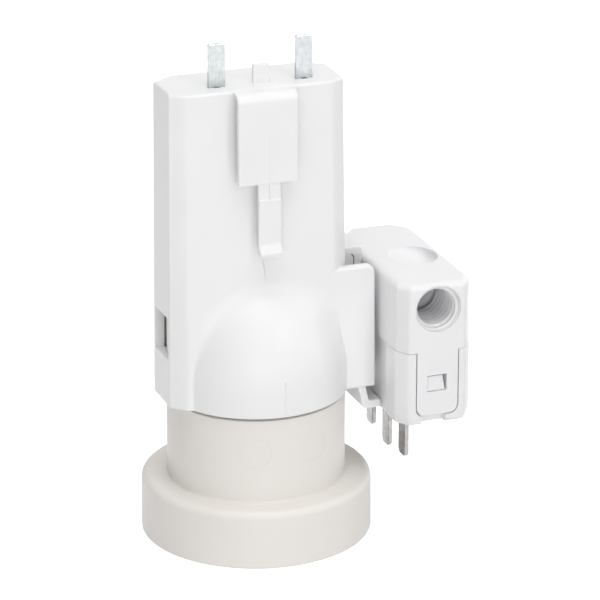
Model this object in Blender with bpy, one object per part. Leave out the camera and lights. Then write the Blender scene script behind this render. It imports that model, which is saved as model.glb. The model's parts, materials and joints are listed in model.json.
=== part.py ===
"""Temporary lamp holder: a lamp holder that plugs into a ceiling connector, with its spare plug beside it.

Metres, +Z up. The lamp screws in from below along the vertical axis, and the part stands on its skirt
ring at Z = 0. X runs along the row of blades, and the release latch is on the -Y side. Every size below
is measured from the lamp's axis. The empty that carries the pieces centres the whole part on X = 0.
"""

import math

import bmesh
import bpy
from mathutils import Matrix, Vector

# Clearances
GAP = 0.0003
OVERCUT = 0.0010

# Lamp holder body
SKIRT_R_BOTTOM = 0.0260
SKIRT_R_TOP = 0.0255
SKIRT_H = 0.0133
SKIRT_ROUND = 0.0010
SKIRT_EDGE = 0.00035
SKIRT_WALL = 0.0031
SKIRT_ROOF = 0.0035
MOUTH_DRAFT = 0.0008
NECK_STEP = 0.0007
NECK_H = 0.0198
FLOOR_LIFT = 0.0043
HOLDER_FLOOR_T = 0.0040
SPIGOT_CHAMFER = 0.0006
SHELL_SEAT_H = 0.0010
CATCH_T = 0.0018
CATCH_ROOT = 0.0018
CATCH_OVER_WINDOW = 0.0015
CATCH_REACH = 0.0014
CATCH_RISE = 0.0035

# Threaded brass shell for the lamp cap
THREAD_PITCH = 0.003629
THREAD_CREST_R = 0.0133
THREAD_DEPTH = 0.0010
SHELL_T = 0.0004
SHELL_FLANGE_W = 0.0021
CONTACT_ROOM = 0.0030
ROWS_PER_PITCH = 5
SHELL_STEPS = 28

# Housing
HOUSING_H = 0.0719
HOUSING_X = -0.0016
HOUSING_DEPTH = 0.0160
BLADE_SIDE_ROOM = 0.0100
BLADE_FRONT_ROOM = 0.00425
FRONT_CROWN = 0.0004
FRONT_CHAMFER_X = 0.0034
FRONT_CHAMFER_Y = 0.0016
BACK_CHAMFER_X = 0.0048
BACK_CHAMFER_Y = 0.0032
SIDE_DRAFT = 0.0110
FRONT_DRAFT = 0.0260
TOP_ROUND = 0.0007
HOUSING_WALL = 0.0020
HOUSING_FLANGE = 0.0030
RIM_R = 0.0204
DOME_LIFT = 0.0070
WINDOW_Y = -0.0005
WINDOW_W = 0.0088
WINDOW_LIFT = 0.0106
WINDOW_H = 0.0100

# Earth key moulded on the top face
KEY_W = 0.0037
KEY_T = 0.0011
KEY_H = 0.0042
KEY_X = 0.0001

# Blades, their carrier and the internal wires
BLADE_PITCH = 0.0200
BLADE_Y = -0.00385
BLADE_W = 0.0040
BLADE_T = 0.0010
BLADE_H = 0.0097
BLADE_TIP = 0.0007
SHOULDER_W = 0.0064
SHOULDER_H = 0.0040
TAIL_W = 0.0030
TAIL_H = 0.0130
CARRIER_H = 0.0042
WIRE_R = 0.0012
WIRE_STRAIGHT = 0.0058

# Release latch moulded on the front
LATCH_X = -0.00135
LATCH_W = 0.0133
LATCH_T = 0.0012
LATCH_OUT = 0.0039
LATCH_BEND_R = 0.0022
LATCH_DROP = 0.0002
LATCH_PLATE_H = 0.0206
TONGUE_W = 0.0052
TONGUE_H = 0.0165
TONGUE_RIDGE_DROP = 0.0037
TONGUE_FLARE = 0.0016
TONGUE_STEP = 0.00015
TONGUE_LAP = 0.0024
LIP_R = 0.0006

# Wing and clip that carry the spare plug
WING_LAP = 0.0049
WING_REACH = 0.0040
WING_H = 0.0287
WING_T = 0.0018
WING_CORNER = 0.0020
WING_ROUND = 0.0008
WING_PROUD = 0.00005
CLIP_T = 0.0016
CLIP_OUT = 0.0026
CLIP_BACK_Y = 0.0120
JAW_SPLIT_Y = 0.0012
LOWER_JAW_T = 0.0018
LOWER_JAW_Z = 0.0013
LOWER_JAW_LEAN = 0.0011
UPPER_JAW_H = 0.0048
JAW_OVER_PLUG = 0.0016
JAW_LEG_T = 0.0018
JAW_SLIT = 0.00035
JAW_SLIT_ROOF = 0.0012
JAW_ROUND = 0.0009
LIP_REACH = 0.0016
LIP_W = 0.0024
LIP_PITCH = 0.0040
LIP_OVER_PLUG = 0.0014
LIP_ROOT = 0.0015
RIB_T = 0.0018

# Spare plug
PLUG_ROOM = 0.0011
PLUG_DROP = 0.0056
PLUG_W = 0.0174
ENTRY_ROOM = 0.0037
BACK_ROOM = 0.0047
BASE_H = 0.0172
COVER_H = 0.0158
PLUG_CHAMFER_X = 0.0022
PLUG_CHAMFER_Y = 0.0034
PLUG_ROUND = 0.0016
COVER_WALL = 0.0018
COVER_ROOF = 0.0030
BASE_PROUD = 0.00025
BASE_DRAFT = 0.0004
BASE_DRAFT_H = 0.0024
BASE_WALL_X = 0.0023
BASE_WALL_Y = 0.0014
BASE_FLOOR = 0.0030
RECESS_DEPTH = 0.0008
RECESS_FROM_FRONT = 0.0085
RECESS_FROM_BACK = 0.0069
TONGUE_SIDE = 0.00355
TONGUE_LIFT = 0.0022
COVER_TONGUE_ROUND = 0.0020
FOOT_LEFT_X = -0.0036
FOOT_RIGHT_X = 0.0021
STOP_DEPTH = 0.0006
STOP_LIFT = 0.0006
CATCH_LEFT_X = -0.0024
CATCH_W = 0.0046
CATCH_LIFT = 0.0077
CATCH_H = 0.0039
CATCH_LEAN = 0.0006
CORD_R = 0.00495
CORD_DROP = 0.0059
CORD_SINK = 0.00045
BOSS_WALL = 0.00145
BOSS_L = 0.0088
DISH_X = 0.0050
DISH_FROM_FRONT = 0.0187
DISH_SIZE = (0.0098, 0.0064, 0.0024)
DISH_RAISE = 0.0005
PARTITION_T = 0.0012
PARTITION_H = 0.0100

# Pins, terminals and screws of the spare plug
PIN_PITCH = 0.0100
PIN_INSET = 0.00500
PIN_ROW_Y = -0.0018
PIN_W = 0.0040
PIN_T = 0.0010
PIN_H = 0.0110
EARTH_PIN_EXTRA = 0.0013
PIN_TIP = 0.0008
PIN_GRIP = 0.0039
TERMINAL_W = 0.0064
TERMINAL_L = 0.0066
TERMINAL_H = 0.0090
TERMINAL_SHIFT_X = 0.0012
TERMINAL_WIRE_R = 0.0015
TERMINAL_WIRE_Z = 0.0062
SCREW_R = 0.00125
SCREW_HEAD_R = 0.0023
SCREW_HEAD_H = 0.0016
SCREW_SLOT_W = 0.0006
SCREW_SLOT_H = 0.0008

# Contacts in the lamp holder
CONTACT_T = 0.0005
CONTACT_W = 0.0050
TAB_H = 0.0056
CENTRE_TAB_X = 0.0090
CENTRE_SLOT_X = 0.0042
CENTRE_DIP = 0.0029
CENTRE_CURL = 0.0030
CENTRE_FLAT = 0.0025
SIDE_TAB_X = -0.0064
SIDE_SLOT_INSET = 0.0007
RIVET_R = 0.0010
RIVET_HEAD_R = 0.0016
RIVET_HEAD_TOP_R = 0.0011
RIVET_HEAD_H = 0.0005

# Facets of the round pieces
ROUND_STEPS = 48
SMALL_STEPS = 16
DOME_RINGS = 9
ARC_STEPS = 4

# Places and sizes of the lamp holder that follow from those above
SHOULDER_Z = SKIRT_H + NECK_H
RIM_Z = SHOULDER_Z + GAP
NECK_R = RIM_R - NECK_STEP
BORE_R = RIM_R - HOUSING_WALL
SPIGOT_R = BORE_R - GAP
HOLDER_FLOOR_Z = SHOULDER_Z + FLOOR_LIFT
SPIGOT_TOP_Z = HOLDER_FLOOR_Z + HOLDER_FLOOR_T
SHELL_OUTER_R = THREAD_CREST_R + SHELL_T
SHELL_BORE_R = SHELL_OUTER_R + GAP
SHELL_SEAT_R = THREAD_CREST_R
SHELL_FLANGE_R = THREAD_CREST_R - SHELL_FLANGE_W
SHELL_LOW_Z = SKIRT_H - SKIRT_ROOF + SHELL_SEAT_H + GAP
SHELL_TOP_Z = HOLDER_FLOOR_Z - CONTACT_ROOM
SIDE_SLOT_X = SIDE_SLOT_INSET - THREAD_CREST_R
TAB_TOP_Z = SPIGOT_TOP_Z + TAB_H

# Places and sizes of the housing that follow from those above
HOUSING_TOP_Z = RIM_Z + HOUSING_H
HOUSING_HALF_X = BLADE_PITCH / 2 + BLADE_SIDE_ROOM
HOUSING_RIGHT_X = HOUSING_X + HOUSING_HALF_X
FRONT_Y = BLADE_Y - BLADE_FRONT_ROOM
BACK_Y = FRONT_Y + HOUSING_DEPTH
SIDE_FRONT_Y = FRONT_Y + FRONT_CHAMFER_Y
SIDE_BACK_Y = BACK_Y - BACK_CHAMFER_Y
DOME_Z = RIM_Z + DOME_LIFT
CEILING_Z = HOUSING_TOP_Z - HOUSING_WALL
CARRIER_TOP_Z = CEILING_Z - GAP - SHOULDER_H - GAP
WINDOW_LOW_Z = RIM_Z + WINDOW_LIFT
WINDOW_HIGH_Z = WINDOW_LOW_Z + WINDOW_H
WINDOW_FRONT_Y = WINDOW_Y - WINDOW_W / 2
WINDOW_BACK_Y = WINDOW_Y + WINDOW_W / 2
CATCH_TOP_Z = WINDOW_HIGH_Z + CATCH_OVER_WINDOW
LATCH_Y = FRONT_Y - LATCH_OUT
LATCH_PLATE_Z = HOUSING_TOP_Z - LATCH_PLATE_H
TONGUE_RIDGE_Z = LATCH_PLATE_Z - TONGUE_RIDGE_DROP
TONGUE_Z = LATCH_PLATE_Z - TONGUE_H
CLIP_X = HOUSING_RIGHT_X + CLIP_OUT
WING_LEFT_X = HOUSING_RIGHT_X - WING_LAP
WING_RIGHT_X = CLIP_X + WING_REACH
WING_TOP_Z = RIM_Z + WING_H

# Places and sizes of the spare plug that follow from those above
PLUG_LEFT_X = WING_RIGHT_X + PLUG_ROOM
PLUG_HALF_X = PLUG_W / 2
PLUG_X = PLUG_LEFT_X + PLUG_HALF_X
PLUG_RIGHT_X = PLUG_LEFT_X + PLUG_W + BASE_PROUD
PLUG_END_WALL = COVER_WALL + GAP + BASE_WALL_Y
PLUG_FRONT_Y = PIN_ROW_Y - PIN_PITCH - TERMINAL_L / 2 - ENTRY_ROOM - PLUG_END_WALL
PLUG_BACK_Y = PIN_ROW_Y + PIN_PITCH + TERMINAL_L / 2 + BACK_ROOM + PLUG_END_WALL
PLUG_HALF_Y = (PLUG_BACK_Y - PLUG_FRONT_Y) / 2
PLUG_Y = (PLUG_FRONT_Y + PLUG_BACK_Y) / 2
PLUG_BOTTOM_Z = RIM_Z - PLUG_DROP
PLUG_SPLIT_Z = PLUG_BOTTOM_Z + BASE_H
PLUG_TOP_Z = PLUG_SPLIT_Z + COVER_H
RECESS_FRONT_Y = PLUG_FRONT_Y + RECESS_FROM_FRONT
RECESS_BACK_Y = PLUG_BACK_Y - RECESS_FROM_BACK
TONGUE_SLOT_W = PLUG_W - 2 * TONGUE_SIDE
COVER_TONGUE_Z = PLUG_BOTTOM_Z + TONGUE_LIFT
CATCH_LOW_Z = PLUG_BOTTOM_Z + CATCH_LIFT
CORD_Z = PLUG_TOP_Z - CORD_DROP
BOSS_R = CORD_R + BOSS_WALL
DISH_Y = PLUG_FRONT_Y + DISH_FROM_FRONT
PIN_X = PLUG_LEFT_X + PIN_INSET

# The lamp's axis lies here in the part's own frame, which is centred on the bounding box
AXIS_X = (SKIRT_R_BOTTOM - PLUG_RIGHT_X) / 2


def clear_scene():
    """Empties the scene and the stock of materials and meshes."""
    for obj in list(bpy.data.objects):
        bpy.data.objects.remove(obj, do_unlink=True)
    for stock in (bpy.data.meshes, bpy.data.curves, bpy.data.materials):
        for item in list(stock):
            stock.remove(item)
    for group in list(bpy.data.collections):
        bpy.data.collections.remove(group)


def new_group(name):
    """A collection in the scene."""
    group = bpy.data.collections.new(name)
    bpy.context.scene.collection.children.link(group)
    return group


def finish(name, colour, roughness, metallic=0.0):
    """A Principled material."""
    made = bpy.data.materials.new(name)
    made.use_nodes = True
    shader = made.node_tree.nodes["Principled BSDF"]
    shader.inputs["Base Color"].default_value = (*colour, 1.0)
    shader.inputs["Roughness"].default_value = roughness
    shader.inputs["Metallic"].default_value = metallic
    made.diffuse_color = (*colour, 1.0)
    return made


clear_scene()
PART = new_group("temporary_lamp_holder")
FORMS = new_group("shaping_forms")
AXIS = bpy.data.objects.new("lamp_axis", None)
AXIS.location = (AXIS_X, 0.0, 0.0)
PART.objects.link(AXIS)

WHITE = finish("white_moulding", (0.86, 0.86, 0.87), 0.35)
CREAM = finish("cream_moulding", (0.76, 0.74, 0.66), 0.45)
BRIGHT = finish("bright_plating", (0.72, 0.73, 0.72), 0.25, 1.0)
BRASS = finish("bare_brass", (0.78, 0.60, 0.30), 0.30, 1.0)
STEEL = finish("plated_steel", (0.60, 0.60, 0.62), 0.35, 1.0)
BROWN = finish("brown_insulation", (0.20, 0.09, 0.05), 0.5)
BLUE = finish("blue_insulation", (0.05, 0.15, 0.50), 0.5)


def put(name, data, material, group):
    """Places mesh or curve data on the lamp's axis, under the empty that carries the part."""
    obj = bpy.data.objects.new(name, data)
    obj.parent = AXIS
    group.objects.link(obj)
    if material:
        data.materials.append(material)
    return obj


def mesh_from(name, form):
    """The mesh of a bmesh, with flat faces kept sharp and round ones shaded smooth."""
    bmesh.ops.recalc_face_normals(form, faces=form.faces)
    mesh = bpy.data.meshes.new(name)
    form.to_mesh(mesh)
    form.free()
    mesh.shade_smooth()
    mesh.set_sharp_from_angle(angle=math.radians(32))
    return mesh


def piece(name, form, material):
    """A visible sub-part."""
    return put(name, mesh_from(name, form), material, PART)


def shaper(name, form):
    """A form that only cuts or joins another one."""
    obj = put(name, mesh_from(name, form), None, FORMS)
    obj.hide_render = True
    obj.display_type = "WIRE"
    return obj


def shape(obj, operation, other):
    """Cuts or joins a form with an exact Boolean."""
    step = obj.modifiers.new(f"{operation.lower()} {other.name}", "BOOLEAN")
    step.operation = operation
    step.solver = "EXACT"
    step.object = other


def cut(obj, name, form):
    """Cuts a bmesh out of an object."""
    shape(obj, "DIFFERENCE", shaper(name, form))


def join(obj, name, form):
    """Joins a bmesh to an object."""
    shape(obj, "UNION", shaper(name, form))


def block(low, high):
    """A box between two corners."""
    form = bmesh.new()
    bmesh.ops.create_cube(form, size=1.0)
    low, high = Vector(low), Vector(high)
    bmesh.ops.scale(form, vec=high - low, verts=form.verts)
    bmesh.ops.translate(form, vec=(low + high) / 2, verts=form.verts)
    return form


def loft(rings):
    """A closed solid through rings of as many points each."""
    form = bmesh.new()
    rows = [[form.verts.new(point) for point in ring] for ring in rings]
    count = len(rows[0])
    for lower, upper in zip(rows, rows[1:]):
        for index in range(count):
            after = (index + 1) % count
            form.faces.new((lower[index], lower[after], upper[after], upper[index]))
    form.faces.new(rows[0])
    form.faces.new(rows[-1])
    return form


def plate_xz(outline, front_y, back_y):
    """A flat outline in X and Z, as thick as from one Y to another."""
    return loft([[(x, y, z) for x, z in outline] for y in (front_y, back_y)])


def plate_yz(outline, left_x, right_x):
    """A flat outline in Y and Z, as thick as from one X to another."""
    return loft([[(x, y, z) for y, z in outline] for x in (left_x, right_x)])


def arc(centre, radius, start, end, steps=ARC_STEPS):
    """Points on an arc between two angles in degrees, both ends included."""
    turns = [math.radians(start + (end - start) * step / steps) for step in range(steps + 1)]
    return [(centre[0] + radius * math.cos(turn), centre[1] + radius * math.sin(turn)) for turn in turns]


def offset_line(a, b, distance):
    """The line from a to b, moved to its left."""
    along = (Vector(b) - Vector(a)).normalized()
    side = Vector((-along.y, along.x)) * distance
    return Vector(a) + side, Vector(b) + side


def meeting_point(first, second):
    """Where two lines cross, or the end of the first where they run on in one line."""
    (a, b), (c, d) = first, second
    run, other = b - a, d - c
    turn = run.x * other.y - run.y * other.x
    if abs(turn) < 1e-12:
        return b
    share = ((c - a).x * other.y - (c - a).y * other.x) / turn
    return a + run * share


def inset(outline, distance):
    """A counter-clockwise outline, shrunk by the same distance all round."""
    count = len(outline)
    lines = [offset_line(outline[i], outline[(i + 1) % count], distance) for i in range(count)]
    return [tuple(meeting_point(lines[i - 1], lines[i])) for i in range(count)]


def ribbon(path, thickness):
    """The outline of a bent strip whose middle follows a path in two dimensions."""
    sides = []
    for distance in (thickness / 2, -thickness / 2):
        lines = [offset_line(a, b, distance) for a, b in zip(path, path[1:])]
        corners = [meeting_point(a, b) for a, b in zip(lines, lines[1:])]
        sides.append([tuple(point) for point in (lines[0][0], *corners, lines[-1][1])])
    return sides[0] + sides[1][::-1]


def turned(profile, steps=ROUND_STEPS, share=0.0):
    """A solid turned about Z. The profile of radius and height starts and ends on the axis.

    A share of a facet turns the whole form, so that a hole's corners miss the edges of what it cuts.
    """
    form = bmesh.new()
    points = [form.verts.new((radius, 0.0, height)) for radius, height in profile]
    edges = [form.edges.new(pair) for pair in zip(points, points[1:])]
    bmesh.ops.spin(
        form,
        geom=points + edges,
        cent=(0, 0, 0),
        axis=(0, 0, 1),
        angle=math.tau,
        steps=steps,
        use_merge=True,
    )
    bmesh.ops.remove_doubles(form, verts=form.verts, dist=1e-6)
    angle = share * math.tau / steps
    bmesh.ops.rotate(form, cent=(0, 0, 0), matrix=Matrix.Rotation(angle, 3, "Z"), verts=form.verts)
    return form


def cylinder(radius, low_z, high_z, steps=SMALL_STEPS):
    """An upright cylinder on the Z axis."""
    return turned([(0, high_z), (radius, high_z), (radius, low_z), (0, low_z)], steps, 0.5)


def placed(form, x=0.0, y=0.0, z=0.0):
    """Moves a bmesh."""
    bmesh.ops.translate(form, vec=(x, y, z), verts=form.verts)
    return form


def laid_along_y(form):
    """Turns an upright bmesh so that its top points to -Y."""
    turn = Matrix.Rotation(math.radians(90), 3, "X")
    bmesh.ops.rotate(form, cent=(0, 0, 0), matrix=turn, verts=form.verts)
    return form


def smooth_path(points, per_span=6):
    """Points on a smooth curve through a few chosen ones."""
    knots = [Vector(point) for point in points]
    knots = [2 * knots[0] - knots[1], *knots, 2 * knots[-1] - knots[-2]]
    path = []
    for a, b, c, d in zip(knots, knots[1:], knots[2:], knots[3:]):
        for step in range(per_span):
            t = step / per_span
            bend = (2 * a - 5 * b + 4 * c - d) * t**2 + (3 * b - a - 3 * c + d) * t**3
            path.append((2 * b + (c - a) * t + bend) / 2)
    return path + [knots[-2]]


def wire(name, points, material):
    """A round insulated wire."""
    curve = bpy.data.curves.new(name, "CURVE")
    curve.dimensions = "3D"
    path = smooth_path(points)
    spline = curve.splines.new("POLY")
    spline.points.add(len(path) - 1)
    for knot, point in zip(spline.points, path):
        knot.co = (*point, 1.0)
    curve.bevel_depth = WIRE_R
    curve.bevel_resolution = 2
    curve.use_fill_caps = True
    return put(name, curve, material, PART)


def housing_outline(z):
    """The housing's plan at a height. The moulding widens towards its open bottom."""
    depth = HOUSING_TOP_Z - z
    half = HOUSING_HALF_X + SIDE_DRAFT * depth
    front = FRONT_Y - FRONT_DRAFT * depth
    left, right = HOUSING_X - half, HOUSING_X + half
    flat = half - FRONT_CHAMFER_X
    crown = []
    for step in range(ARC_STEPS + 1):
        across = 2 * step / ARC_STEPS - 1
        crown.append((HOUSING_X + flat * across, front - FRONT_CROWN * (1 - across**2)))
    return [
        (left, SIDE_FRONT_Y - (FRONT_DRAFT - SIDE_DRAFT) * depth / 4),
        *crown,
        (right, SIDE_FRONT_Y - (FRONT_DRAFT - SIDE_DRAFT) * depth / 4),
        (right, SIDE_BACK_Y),
        (right - BACK_CHAMFER_X, BACK_Y),
        (left + BACK_CHAMFER_X, BACK_Y),
        (left, SIDE_BACK_Y),
    ]


def housing_ring(z, shrink=0.0):
    """One ring of the housing's loft."""
    return [(x, y, z) for x, y in inset(housing_outline(z), shrink)]


def round_top_rings(ring, top_z, radius):
    """Rings that round off the top edge of a loft."""
    rings = []
    for step in range(ARC_STEPS):
        angle = math.pi / 2 * step / (ARC_STEPS - 1)
        rings.append(ring(top_z - radius * (1 - math.sin(angle)), radius * (1 - math.cos(angle))))
    return rings


def dome_profile(radius, low_z):
    """The profile of a cylinder that ends in half a ball at the top."""
    curve = arc((0.0, DOME_Z), radius, 90, 0, DOME_RINGS)
    return [(0.0, DOME_Z + radius), *curve[1:], (radius, low_z), (0.0, low_z)]


def latch_plate():
    """The wide upper plate of the latch, bent over at the housing's top edge."""
    top_z = HOUSING_TOP_Z - LATCH_DROP
    bend = (LATCH_Y + LATCH_BEND_R, top_z - LATCH_BEND_R)
    root_y = FRONT_Y + HOUSING_WALL / 2
    outline = [
        (root_y, top_z),
        *arc(bend, LATCH_BEND_R, 90, 180),
        (LATCH_Y, LATCH_PLATE_Z),
        (LATCH_Y + LATCH_T, LATCH_PLATE_Z),
        *arc(bend, LATCH_BEND_R - LATCH_T, 180, 90),
        (root_y, top_z - LATCH_T),
    ]
    return plate_yz(outline, LATCH_X - LATCH_W / 2, LATCH_X + LATCH_W / 2)


def latch_tongue():
    """The narrow finger tongue below the plate, with a ridge across it and a flared lip at its end."""
    inner = LATCH_Y + LATCH_T - TONGUE_STEP
    flare_z = TONGUE_Z + 2 * TONGUE_FLARE
    lip = (LATCH_Y - TONGUE_FLARE + LIP_R, TONGUE_Z + LIP_R)
    outline = [
        (inner, LATCH_PLATE_Z + TONGUE_LAP),
        (LATCH_Y + TONGUE_STEP, LATCH_PLATE_Z + TONGUE_LAP),
        (LATCH_Y + 2 * TONGUE_STEP, TONGUE_RIDGE_Z + TONGUE_STEP),
        (LATCH_Y - TONGUE_STEP, TONGUE_RIDGE_Z - TONGUE_STEP),
        (LATCH_Y, flare_z),
        *arc(lip, LIP_R, 160, 270),
        (inner - TONGUE_STEP, TONGUE_Z + LATCH_T),
        (inner, flare_z),
    ]
    return plate_yz(outline, LATCH_X - TONGUE_W / 2, LATCH_X + TONGUE_W / 2)


def wing():
    """The plate that carries the front on to the right, up to the spare plug."""
    low_z = RIM_Z - OVERCUT
    corner = (WING_RIGHT_X - WING_CORNER, WING_TOP_Z - WING_CORNER)
    outline = [
        (WING_LEFT_X, low_z - WING_ROUND),
        (WING_RIGHT_X, low_z - WING_ROUND),
        *arc(corner, WING_CORNER, 0, 90),
        (WING_LEFT_X, WING_TOP_Z),
    ]
    front = FRONT_Y - FRONT_DRAFT * (HOUSING_TOP_Z - RIM_Z) - WING_PROUD
    rings = []
    for step in range(ARC_STEPS):
        angle = math.pi / 2 * step / (ARC_STEPS - 1)
        y = front + WING_ROUND * (1 - math.sin(angle))
        rings.append([(x, y, z) for x, z in inset(outline, WING_ROUND * (1 - math.cos(angle)))])
    rings.sort(key=lambda ring: ring[0][1])
    rings.append([(x, front + WING_T, z) for x, z in outline])
    form = loft(rings)
    for vert in form.verts:
        vert.co.y += FRONT_DRAFT * (vert.co.z - RIM_Z)
    return form


def lower_jaw():
    """The strip that hangs below the wing and bears on the plug's side."""
    end_x = PLUG_LEFT_X - BASE_PROUD + RECESS_DEPTH - GAP
    middle_z = PLUG_BOTTOM_Z + LOWER_JAW_Z
    web_x = CLIP_X + CLIP_T / 2
    path = [
        (web_x, RIM_Z + RIB_T),
        (web_x, RIM_Z),
        (web_x + LOWER_JAW_LEAN, middle_z),
        (end_x, middle_z),
    ]
    front = FRONT_Y - FRONT_DRAFT * (HOUSING_TOP_Z - RIM_Z) + GAP
    return plate_xz(ribbon(path, LOWER_JAW_T), front, JAW_SPLIT_Y)


def upper_jaw():
    """The hairpin end of the clip, level with the plug's top, with a slit between its two legs."""
    top_z = PLUG_TOP_Z + JAW_OVER_PLUG
    right = PLUG_LEFT_X - GAP
    low_z = top_z - UPPER_JAW_H
    outer_leg = right - JAW_LEG_T
    inner_leg = outer_leg - JAW_SLIT
    outline = [
        (inner_leg, low_z),
        (inner_leg, top_z - JAW_SLIT_ROOF),
        (outer_leg, top_z - JAW_SLIT_ROOF),
        (outer_leg, low_z),
        (right, low_z),
        *arc((right - JAW_ROUND, top_z - JAW_ROUND), JAW_ROUND, 0, 90),
        *arc((CLIP_X + JAW_ROUND, top_z - JAW_ROUND), JAW_ROUND, 90, 180),
        (CLIP_X, low_z - UPPER_JAW_H),
        (CLIP_X + CLIP_T, low_z - UPPER_JAW_H),
        (CLIP_X + CLIP_T, low_z),
    ]
    return plate_xz(outline, JAW_SPLIT_Y + GAP, CLIP_BACK_Y)


def retaining_lip(index):
    """One of the two small fingers that hook over the plug's top edge."""
    low_z = PLUG_TOP_Z + GAP
    high_z = PLUG_TOP_Z + LIP_OVER_PLUG
    middle = (low_z + high_z) / 2
    radius = (high_z - low_z) / 2
    root = PLUG_LEFT_X - GAP - LIP_ROOT
    end = PLUG_LEFT_X + LIP_REACH
    outline = [(root, low_z), *arc((end - radius, middle), radius, -90, 90), (root, high_z)]
    back = CLIP_BACK_Y - GAP - index * LIP_PITCH
    return plate_xz(outline, back - LIP_W, back)


def make_housing():
    """The white housing with its dome, earth key, latch, wing and clip, all one moulding."""
    rings = [housing_ring(RIM_Z - OVERCUT), *round_top_rings(housing_ring, HOUSING_TOP_Z, TOP_ROUND)]
    housing = piece("housing", loft(rings), WHITE)
    join(housing, "dome_outside", turned(dome_profile(RIM_R, RIM_Z - OVERCUT)))
    join(housing, "wing", wing())
    low_rib_z = RIM_Z - OVERCUT
    inside_x = HOUSING_RIGHT_X - HOUSING_WALL / 2
    ribs_front = FRONT_Y
    ribs_back = SIDE_BACK_Y - HOUSING_WALL / 2
    join(
        housing,
        "clip_floor",
        block((inside_x, ribs_front, low_rib_z), (CLIP_X + CLIP_T, ribs_back, RIM_Z + RIB_T)),
    )
    beyond = 2 * SKIRT_R_BOTTOM
    cut(housing, "below_rim", block((-beyond, -beyond, -OVERCUT), (beyond, beyond, RIM_Z)))
    upper_rib_z = PLUG_TOP_Z - 2 * UPPER_JAW_H
    join(
        housing,
        "clip_rib",
        block((inside_x, ribs_front, upper_rib_z), (CLIP_X + CLIP_T / 2, ribs_back, upper_rib_z + RIB_T)),
    )
    web_top = PLUG_TOP_Z - UPPER_JAW_H
    join(
        housing,
        "clip_web",
        block(
            (CLIP_X + WING_PROUD, ribs_front - GAP, RIM_Z + RIB_T / 2),
            (CLIP_X + CLIP_T - WING_PROUD, CLIP_BACK_Y - GAP, web_top),
        ),
    )
    join(housing, "lower_jaw", lower_jaw())
    join(housing, "upper_jaw", upper_jaw())
    for index in range(2):
        join(housing, f"retaining_lip_{index + 1}", retaining_lip(index))
    join(housing, "latch_plate", latch_plate())
    join(housing, "latch_tongue", latch_tongue())
    key = block(
        (KEY_X - KEY_W / 2, BLADE_Y - KEY_T / 2, HOUSING_TOP_Z - HOUSING_WALL / 2),
        (KEY_X + KEY_W / 2, BLADE_Y + KEY_T / 2, HOUSING_TOP_Z + KEY_H),
    )
    join(housing, "earth_key", key)
    floor_z = RIM_Z + HOUSING_FLANGE
    hollow = [housing_ring(z, HOUSING_WALL) for z in (floor_z, CEILING_Z)]
    cut(housing, "prism_inside", loft(hollow))
    cut(housing, "dome_inside", turned(dome_profile(BORE_R, RIM_Z - OVERCUT)))
    for side in (-1, 1):
        x = side * BLADE_PITCH / 2
        slot = block(
            (x - BLADE_W / 2 - GAP, BLADE_Y - BLADE_T / 2 - GAP, CEILING_Z - OVERCUT),
            (x + BLADE_W / 2 + GAP, BLADE_Y + BLADE_T / 2 + GAP, HOUSING_TOP_Z + OVERCUT),
        )
        cut(housing, f"blade_slot_{'left' if side < 0 else 'right'}", slot)
    cut_catch_ways(housing)
    return housing


def inner_wall_x(side):
    """The inner face of the housing's left or right wall at the height of the catches."""
    depth = HOUSING_TOP_Z - WINDOW_HIGH_Z
    return HOUSING_X + side * (HOUSING_HALF_X + SIDE_DRAFT * depth - HOUSING_WALL)


def cut_catch_ways(housing):
    """The window on the left and the notch below it, through which the holder's catch goes in."""
    inner = inner_wall_x(-1)
    window = block(
        (inner - HOUSING_WALL * 2, WINDOW_FRONT_Y, WINDOW_LOW_Z),
        (inner + HOUSING_WALL, WINDOW_BACK_Y, WINDOW_HIGH_Z),
    )
    cut(housing, "window_left", window)
    notch = block(
        (inner, WINDOW_FRONT_Y, RIM_Z - OVERCUT),
        (inner + HOUSING_WALL * 2, WINDOW_BACK_Y, RIM_Z + HOUSING_FLANGE + OVERCUT),
    )
    cut(housing, "notch_left", notch)


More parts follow.
